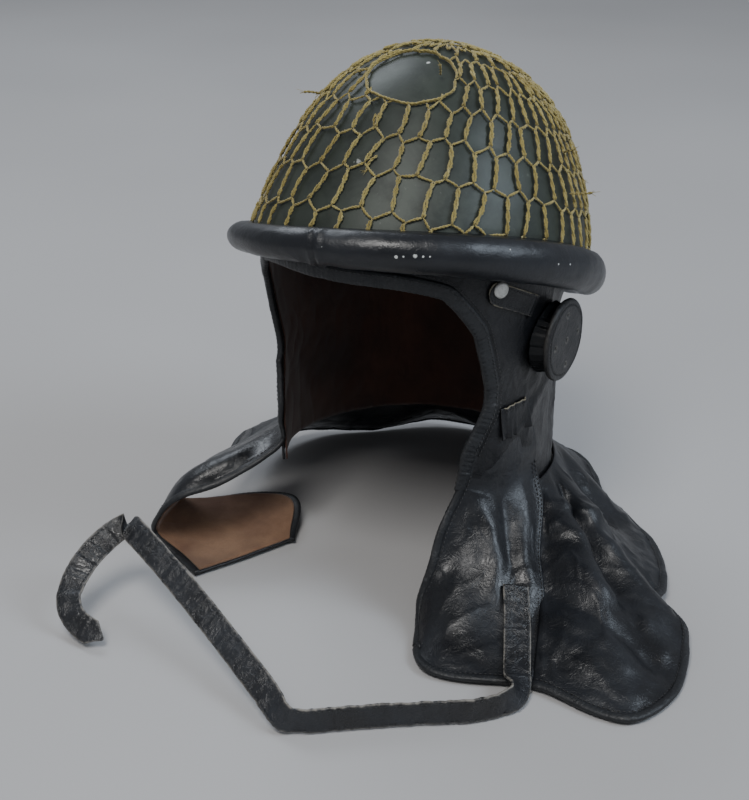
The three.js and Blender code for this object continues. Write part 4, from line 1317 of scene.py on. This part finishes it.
def make_right_flap():
    across, down = np.meshgrid(np.linspace(0, 1, 70), np.linspace(0, 1, 130))
    grid = patch_at([*flap_roots(-1), *RIGHT_FLAP_CONTROL], across, down)
    normals = grid_normals(grid)
    facing = ((grid[30] - np.array(INSIDE, float)) * normals[30]).sum(-1).mean()
    outward = normals if facing > 0 else -normals
    slack = 0.7 * waves(grid, 28, 71) + 0.4 * creases(grid, 17, 72, (1, 1, 1), 5) - 0.2
    grid = folded(grid, RIGHT_FLAP_FOLDS, outward)
    grid = grid + outward * (slack * np.clip(down / 0.3, 0, 1))[..., None]
    grid = above_table(grid, 1.4)
    made = surface("right_flap_skin", grid, glossy, LEATHER)
    belongs(made, "leather", "right_cheek_flap")
    below = int(np.argmax(grid[:, 0, 2] < BINDING_ENDS_AT + 14))
    trims = bound_edge("right_flap_binding", grid[below:], outward[below:], ("front",), seed=2)
    end, end_outward = grid[-40:, ::-1], outward[-40:, ::-1]
    trims += bound_edge("right_flap_end", end, end_outward, ("front",), 3.0, 3.4, 1.7, False, 4)
    clear_of_hood = int(np.argmax(grid[..., 2].max(axis=1) < RIGHT_LINING_TOP))
    inner = grid - outward * ((LEATHER + LINING) / 2 + FLAP_LINING_GAP)
    inner = above_table(inner[clear_of_hood:, 3:-3], 2.0)
    # The lining's tan colour carries painted shade for the inside of the flap.
    lining = surface("right_flap_lining_skin", inner, lining_tan_with_painted_shade, LINING)
    belongs(lining, "tan_lining", "right_flap_lining")


make_right_flap()

CAPE_FOLDS = [
    Fold([(106, -7, -151), (133, 10, -160), (140, 40, -178), (158, 66, -200)], 2.6, 6),
    Fold([(106, -4, -151), (134, 48, -188)], -2.2, 7),
    Fold([(130, -37, -166), (168, -51, -174), (198, -45, -190), (220, -62, -199)], 4.2, 7),
    Fold([(140, -65, -181), (179, -73, -182), (205, -74, -191), (231, -80, -203)], -4.0, 8),
    Fold([(114, -20, -154), (140, -20, -160), (170, -22, -176)], 2.4, 6),
    Fold([(120, -34, -160), (148, -46, -170), (186, -62, -184)], -1.8, 6),
    Fold([(144, -88, -190), (168, -96, -196), (196, -104, -202)], 2.0, 9),
    Fold([(128, 0, -158), (160, 10, -176), (186, 6, -192)], -2.4, 7),
    Fold([(124, 24, -162), (150, 40, -186)], 2.2, 7),
    Fold([(150, -76, -186), (172, -84, -190)], 1.8, 5),
]


def tucked_under(grid, seam):
    """Brings a grid's first columns onto a seam."""
    lengths = np.linalg.norm(np.diff(seam, axis=0), axis=1).sum()
    line = even_steps(seam, lengths / (len(grid) - 1))
    line = line[np.linspace(0, len(line) - 1, len(grid)).round().astype(int)]
    share = np.clip(np.arange(grid.shape[1]) / SEAM_COLUMNS, 0, 1)
    share = eased(share)[None, :, None]
    return line[:, None] * (1 - share) + grid * share


def make_cape():
    control = []
    for row in CAPE_ROWS:
        seat = np.array([float(row.seat)])
        level = hem_height(seat) + CAPE_OVERLAP
        top = hood_plain(hood_row_at(seat, level), seat, SEAM_MARGIN + LEATHER / 2)[0]
        bend = around(row.bend_reach, row.bend, row.bend_level)
        hem = around(row.hem_reach, row.hem, row.hem_level)
        control.append([top, bend, hem])
    control = np.array([CAPE_FRONT_SEAM, *control], float).transpose(1, 0, 2)
    across, down = np.meshgrid(np.linspace(0, 1, 340), np.linspace(0, 1, 74))
    fine = patch(control, across[0], down[:, 0])
    normals = grid_normals(fine)
    outward = normals if normals[..., 2].mean() > 0 else -normals
    grid = folded(fine, CAPE_FOLDS, outward)
    slack = 1.5 * waves(grid, 40, 81) + 0.7 * waves(grid, 16, 82) + 0.8 * creases(grid, 20, 83, (1, 1, 1), 5)
    slack = slack + 0.55 * waves(grid, 7, 84) * np.clip((down - 0.55) / 0.3, 0, 1)
    grid = grid + outward * (slack * np.clip(down / 0.15, 0, 1))[..., None]
    grid = tucked_under(above_table(grid, 1.5), flap_rear)
    made = surface("neck_cape_skin", grid, glossy, LEATHER)
    belongs(made, "leather", "neck_cape")
    trims = bound_edge("cape_binding", grid, outward, ("hem",), seed=3)


make_cape()

# The ear cups: a ruched ring and a padded disc with punched holes.
DISC_X, DISC_Y = 105.0, 7.0
DISC_LEFT_Z, DISC_RIGHT_Z = -37.0, -43.0
DISC_RADIUS, DISC_THICK = 27.6, 4.5
HOLE_RING = 17.0
GUSSET_RADIUS, GUSSET_WALL = 21.0, 3.0


def ear_height(side):
    return DISC_LEFT_Z if side > 0 else DISC_RIGHT_Z


def hand_of(side):
    return "left" if side > 0 else "right"


def round_ear(side, out, radius, angles):
    """Points at an ear, by distance out from the middle plane, radius and angle."""
    y = DISC_Y + radius * np.cos(angles)
    z = ear_height(side) + radius * np.sin(angles)
    return np.stack([side * out, y, z], -1)


def make_disc(side):
    hand = hand_of(side)
    rings, spokes = 46, 120
    angles = np.arange(spokes) * 2 * math.pi / spokes
    # Shares of the radius and of the thickness, from the middle of the face round to the back.
    middle = np.linspace(0.02, 0.86, rings)
    radii = np.concatenate([middle, [0.9, 0.94, 0.97, 0.99, 1.0, 1.0, 0.985, 0.95, 0.9, 0.5, 0.02]])
    rounding = [0.9, 0.85, 0.76, 0.62, 0.45, 0.25, 0.1, 0.02, 0, 0, 0]
    level = np.concatenate([1 - 0.10 * middle**2, rounding])
    wobble = 1 + 0.006 * np.sin(angles * 3 + 1) + 0.004 * np.sin(angles * 7)
    y = DISC_RADIUS * radii[:, None] * np.cos(angles) * wobble
    z = DISC_RADIUS * radii[:, None] * np.sin(angles) * wobble
    face = np.zeros(len(radii))
    face[: rings + 3] = 1
    height = DISC_THICK * level[:, None] * np.ones_like(y)
    wear = np.zeros_like(y)
    for hy, hz in ((0, 0), (HOLE_RING, 0), (-HOLE_RING, 0), (0, HOLE_RING), (0, -HOLE_RING)):
        away = np.hypot(y - hy, z - hz)
        height = height - face[:, None] * (1.5 * bump(away, 1.25) - 0.25 * bump(away - 2.1, 0.6))
        wear = wear + 0.8 * bump(away - 1.9, 0.5) * face[:, None]
    ring = np.hypot(y, z)
    height = height - face[:, None] * 0.5 * bump(ring - DISC_RADIUS * 0.86, 0.7)
    place = np.stack([height, y, z], -1)
    height = height + face[:, None] * 0.35 * waves(place, 13, 91 + side)
    points = np.stack([side * (DISC_X + height), DISC_Y + y, ear_height(side) + z], -1)
    faces = grid_faces(len(radii), spokes, True) + end_caps(len(radii), spokes, flip=True)
    wear = wear + 0.15 * bump(ring - DISC_RADIUS, 0.9)
    made = finish_mesh(f"ear_pad_{hand}", points, faces, leather, np.clip(wear, 0, 1))
    turn_outward(made)
    belongs(made, "leather", f"ear_disc_{hand}")
    seams = Strands()
    loop = np.linspace(0, 2 * math.pi, 140)
    path = round_ear(side, np.full(140, DISC_X + DISC_THICK * 0.93), DISC_RADIUS * 0.86, loop)
    lay_stitches(seams, path, np.array([side, 0.0, 0.0]), 2.6, 1.7, 0.28)
    belongs(seams.build(f"ear_pad_stitches_{hand}", thread), "leather")


def make_gusset(side):
    hand = hand_of(side)
    spokes, depth = 260, 18
    angles = np.arange(spokes) * 2 * math.pi / spokes
    height = ear_height(side) + GUSSET_RADIUS * np.sin(angles)
    ahead = DISC_Y + GUSSET_RADIUS * np.cos(angles)
    bearing = side * np.degrees(np.arctan2(np.sqrt(np.maximum(93.0**2 - ahead**2, 1)), -ahead))
    foot = np.abs(hood_point(bearing, height, 0.5)[..., 0]) + 0.9
    share = np.linspace(0, 1, depth)[:, None]
    head = DISC_X - 0.4
    out = foot[None, :] + share * (head - foot[None, :])
    circle = np.stack([np.cos(angles), np.sin(angles), 0 * angles], -1) * GUSSET_RADIUS
    ruche = 0.9 * waves(circle, 6.5, 95) + 0.6 * waves(circle, 2.6, 96) - 0.8 * creases(circle, 7.0, 97)
    flare = 2.6 * (1 - share) ** 2
    belly = np.sin(math.pi * (0.15 + 0.85 * share))
    radius = GUSSET_RADIUS + GUSSET_WALL / 2 - 1.4 + flare + belly * 0.9
    radius = radius + ruche[None, :] * (0.5 + 0.6 * belly)
    outer = round_ear(side, out, radius, angles)
    inner = round_ear(side, out, radius - 2.0, angles)[::-1]
    grid = np.concatenate([outer, inner])
    faces = grid_faces(len(grid), spokes, True) + closing_ring(len(grid), spokes)
    made = finish_mesh(f"ear_ruche_{hand}", grid, faces, ruched)
    turn_outward(made)
    belongs(made, "leather", f"ear_gusset_{hand}")


# Small sewn parts on the hood.
STUD_BEARING, STUD_HEIGHT = 60.0, 12.2
STUD_MARGIN, STUD_SPOKES = 2.35, 48
# Radius and height of the stud's turned profile, from the middle of the face to the foot.
STUD_FACE = [(0.05, 1.55), (2.6, 1.6), (3.2, 1.5), (3.5, 1.62), (4.6, 1.35)]
STUD_FOOT = [(5.3, 0.9), (5.5, 0.4), (5.4, 0.05), (4.8, 0.0), (0.05, 0.0)]
RIGHT_DROP = 20.0


def make_hood_strap(name, node, side, ends, half_width, thick, drop, rounded_end, wear):
    (from_bearing, from_height), (to_bearing, to_height) = ends
    share = np.linspace(0, 1, 60)
    bearing = from_bearing + (to_bearing - from_bearing) * share
    height = from_height + (to_height - from_height) * share - drop
    middle = hood_point(side * bearing, height, 1.0 + thick / 2)
    above = hood_point(side * bearing, height + 3, 1.0 + thick / 2)
    across = unit(above - middle)
    lengths = share * np.linalg.norm(middle[-1] - middle[0])
    widths = np.full(len(share), half_width, float)
    if rounded_end:
        near = np.clip(lengths / half_width, 0, 1)
        widths = half_width * np.sqrt(np.maximum(1 - (1 - near) ** 2, 0.02))
    ruffle = lambda rings: 0.22 * waves(rings, 6, 101) + 0.15 * waves(rings, 2.5, 102)
    made = band(name, middle, across, widths, thick / 2, leather, 20, 5.0, ruffle, wear)
    belongs(made, "leather", node)
    seams = Strands()
    raw = Strands()
    lit = middle + across * widths[:, None] * 0.98
    facing = np.repeat(unit(np.array([[side, -0.3, 0.2]])), len(lit), axis=0)
    if rounded_end:
        under = (middle - across * widths[:, None] * 0.98)[:18]
        raw.add(np.concatenate([under[::-1], lit]), np.concatenate([facing[:18], facing]), 0.5, 8)
    else:
        raw.add(lit[4:-4], facing[4:-4], 0.5, 8)
    belongs(raw.build(name + "_raw_edge", cut_edge), "leather", node)
    out = unit(np.cross(across, np.gradient(middle, axis=0)))
    out = out * np.sign((out * middle).sum(-1).mean())
    for edge in (-1, 1) if rounded_end else (1,):
        line = middle + across * (widths * 0.74 * edge)[:, None] + out * (thick / 2 + 0.15)
        lay_stitches(seams, line, out, 2.7, 1.7, 0.28)
    belongs(seams.build(name + "_stitches", thread), "leather")


def make_stud(side, drop):
    hand = hand_of(side)
    height = STUD_HEIGHT - drop

    def beside(turn, rise):
        return hood_point(side * (STUD_BEARING + turn), height + rise, STUD_MARGIN)

    seat = beside(0, 0)
    ahead = beside(2, 0) - beside(-2, 0)
    up = beside(0, 2) - beside(0, -2)
    out = unit(np.cross(ahead, up) * side)
    right = unit(np.cross(out, up))
    top = np.cross(right, out)
    profile = STUD_FACE + STUD_FOOT
    profile = through(profile, np.linspace(0, len(profile) - 1, 40), False)
    angles = np.arange(STUD_SPOKES) * 2 * math.pi / STUD_SPOKES
    radius, rise = np.maximum(profile[:, 0], 0.05), profile[:, 1]
    turned = np.cos(angles)[None, :, None] * right + np.sin(angles)[None, :, None] * top
    points = seat + radius[:, None, None] * turned + rise[:, None, None] * out
    faces = grid_faces(len(radius), STUD_SPOKES, True) + end_caps(len(radius), STUD_SPOKES, flip=True)
    made = finish_mesh(f"snap_stud_{hand}", points, faces, stud_metal)
    turn_outward(made)
    belongs(made, "stud_metal", f"temple_stud_{hand}")


sewn_on = ["face_opening_binding", "binding_stitches"]
for side, hand, drop in ((1, "left", 0.0), (-1, "right", RIGHT_DROP)):
    make_disc(side)
    make_gusset(side)
    temple = f"temple_strap_{hand}"
    keeper = f"keeper_tab_{hand}"
    make_hood_strap(temple + "_skin", temple, side, ((55.5, 12.5), (82, -8)), 7.2, 1.2, drop, True, 0.5)
    make_hood_strap(keeper + "_skin", keeper, side, ((66, -85), (84, -85)), 11.0, 1.0, 0.0, False, 0.0)
    make_stud(side, drop)
    for piece in (temple, keeper):
        sewn_on += [piece + "_skin", piece + "_skin_raw_edge", piece + "_skin_stitches"]

# The tie strap, sewn to the left flap, runs over the table and curls back.
STRAP_SEAM_ROWS = 4
STRAP_SEAM_ACROSS = (0.80, 0.92)
STRAP_SEAM_DOWN = (0.62, 0.96)


def strap_route():
    control = np.array(LEFT_FLAP_CONTROL)
    at, wide = [], []
    stand = LEATHER / 2 + STRAP_THICK / 2 + FLAP_MARGIN
    for row in range(STRAP_SEAM_ROWS):
        share = row / (STRAP_SEAM_ROWS - 1)
        across = STRAP_SEAM_ACROSS[0] + (STRAP_SEAM_ACROSS[1] - STRAP_SEAM_ACROSS[0]) * share
        down = STRAP_SEAM_DOWN[0] + (STRAP_SEAM_DOWN[1] - STRAP_SEAM_DOWN[0]) * share
        point = patch(control, np.array([across, across + 0.02]), np.array([down, down + 0.01]))
        beside = unit(point[0, 1] - point[0, 0])
        along = unit(point[1, 0] - point[0, 0])
        out = unit(np.cross(along, beside))
        at.append(point[0, 0] + out * (stand + 0.6))
        wide.append(beside)
    at += [np.array(row.at, float) for row in STRAP_ROWS]
    wide += [np.array(row.wide, float) for row in STRAP_ROWS]
    t = np.linspace(0, len(at) - 1, 700)
    route = through(np.array(at), t, False)
    twist = unit(through(np.array(wide), t, False))
    both = even_steps(np.hstack([route, twist]), 1.0)
    return both[:, :3], unit(both[:, 3:])


def make_tie_strap():
    path, wide = strap_route()
    count = len(path)
    lengths = np.arange(count) * 1.0
    left = lengths[-1] - lengths
    widths = STRAP_HALF_WIDTH * np.clip(0.12 + left / 11, 0, 1) + 0.25 * waves(path, 14, 111)
    # The face of the long run is gathered into small creases across its width.
    gathered = np.clip((lengths - 60) / 40, 0.35, 1)

    def ruffle(rings):
        s = lengths[:, None] + 0 * rings[..., 0]
        lines = waves(np.stack([s, rings[..., 2] * 0.3, 0 * s], -1), 3.4, 112)
        pinch = creases(np.stack([s, rings[..., 2] * 0.4, 0 * s], -1), 7.0, 114)
        fold = waves(np.stack([s, 0 * s, 0 * s], -1), 15.0, 113)
        return (0.6 * lines + 0.7 * pinch + 0.45 * fold) * gathered[:, None]

    made = band("tie_strap_skin", path, wide, widths, STRAP_THICK / 2, strap_leather, 26, 6.0, ruffle, 1.0)
    belongs(made, "leather", "tie_strap")
    seams = Strands()
    tangents = unit(np.gradient(path, axis=0))
    up = np.cross(tangents, unit(wide))
    for face in (-1, 1):
        for edge in (-1, 1):
            line = path + unit(wide) * (widths * 0.8 * edge)[:, None] + up * face * (STRAP_THICK / 2 + 0.2)
            lay_stitches(seams, line[4:-26], up[4:-26] * face, 3.0, 1.9, 0.3)
    stitches = belongs(seams.build("tie_strap_stitches", thread), "leather")


make_tie_strap()


# The floor and the lights.
def make_floor():
    look = Look("studio_floor")
    tone = look.span(look.noise(1.6, 2.0), 0.3, 0.7)
    look.set("Base Color", look.mix(tone, rgb(0.43, 0.425, 0.425), rgb(0.47, 0.465, 0.465)))
    look.set("Roughness", 0.75)
    look.set("Specular IOR Level", 0.25)
    side = 9000.0
    line = np.linspace(-side, side, 9)
    x, y = np.meshgrid(line, line)
    grid = np.stack([x, y, np.full_like(x, TABLE_LEVEL)], -1)
    finish_mesh("studio_floor", grid, grid_faces(9, 9), look.material)


def make_light(name, place, target, size, power, colour):
    data = bpy.data.lights.new(name, "AREA")
    data.shape = "SQUARE"
    data.size = size
    data.energy = power
    data.color = colour
    lamp = bpy.data.objects.new(name, data)
    lamp.location = place
    lamp.rotation_euler = (Vector(target) - Vector(place)).to_track_quat("-Z", "Y").to_euler()
    bpy.context.collection.objects.link(lamp)


make_floor()
make_light("key", (0.3, -1.3, 2.0), (0, 0, 0), 0.9, 34.0, (1.0, 0.98, 0.95))
make_light("sky", (1.9, 0.5, 1.5), (0.05, 0, -0.1), 1.1, 30.0, (0.76, 0.87, 1.0))
make_light("back", (-1.5, 0.9, 1.7), (0, 0, 0), 1.1, 20.0, (0.86, 0.92, 1.0))
world = bpy.data.worlds.new("studio")
world.use_nodes = True
background = next(node for node in world.node_tree.nodes if node.type == "BACKGROUND")
background.inputs["Color"].default_value = (0.86, 0.90, 0.97, 1.0)
background.inputs["Strength"].default_value = 0.30
bpy.context.scene.world = world
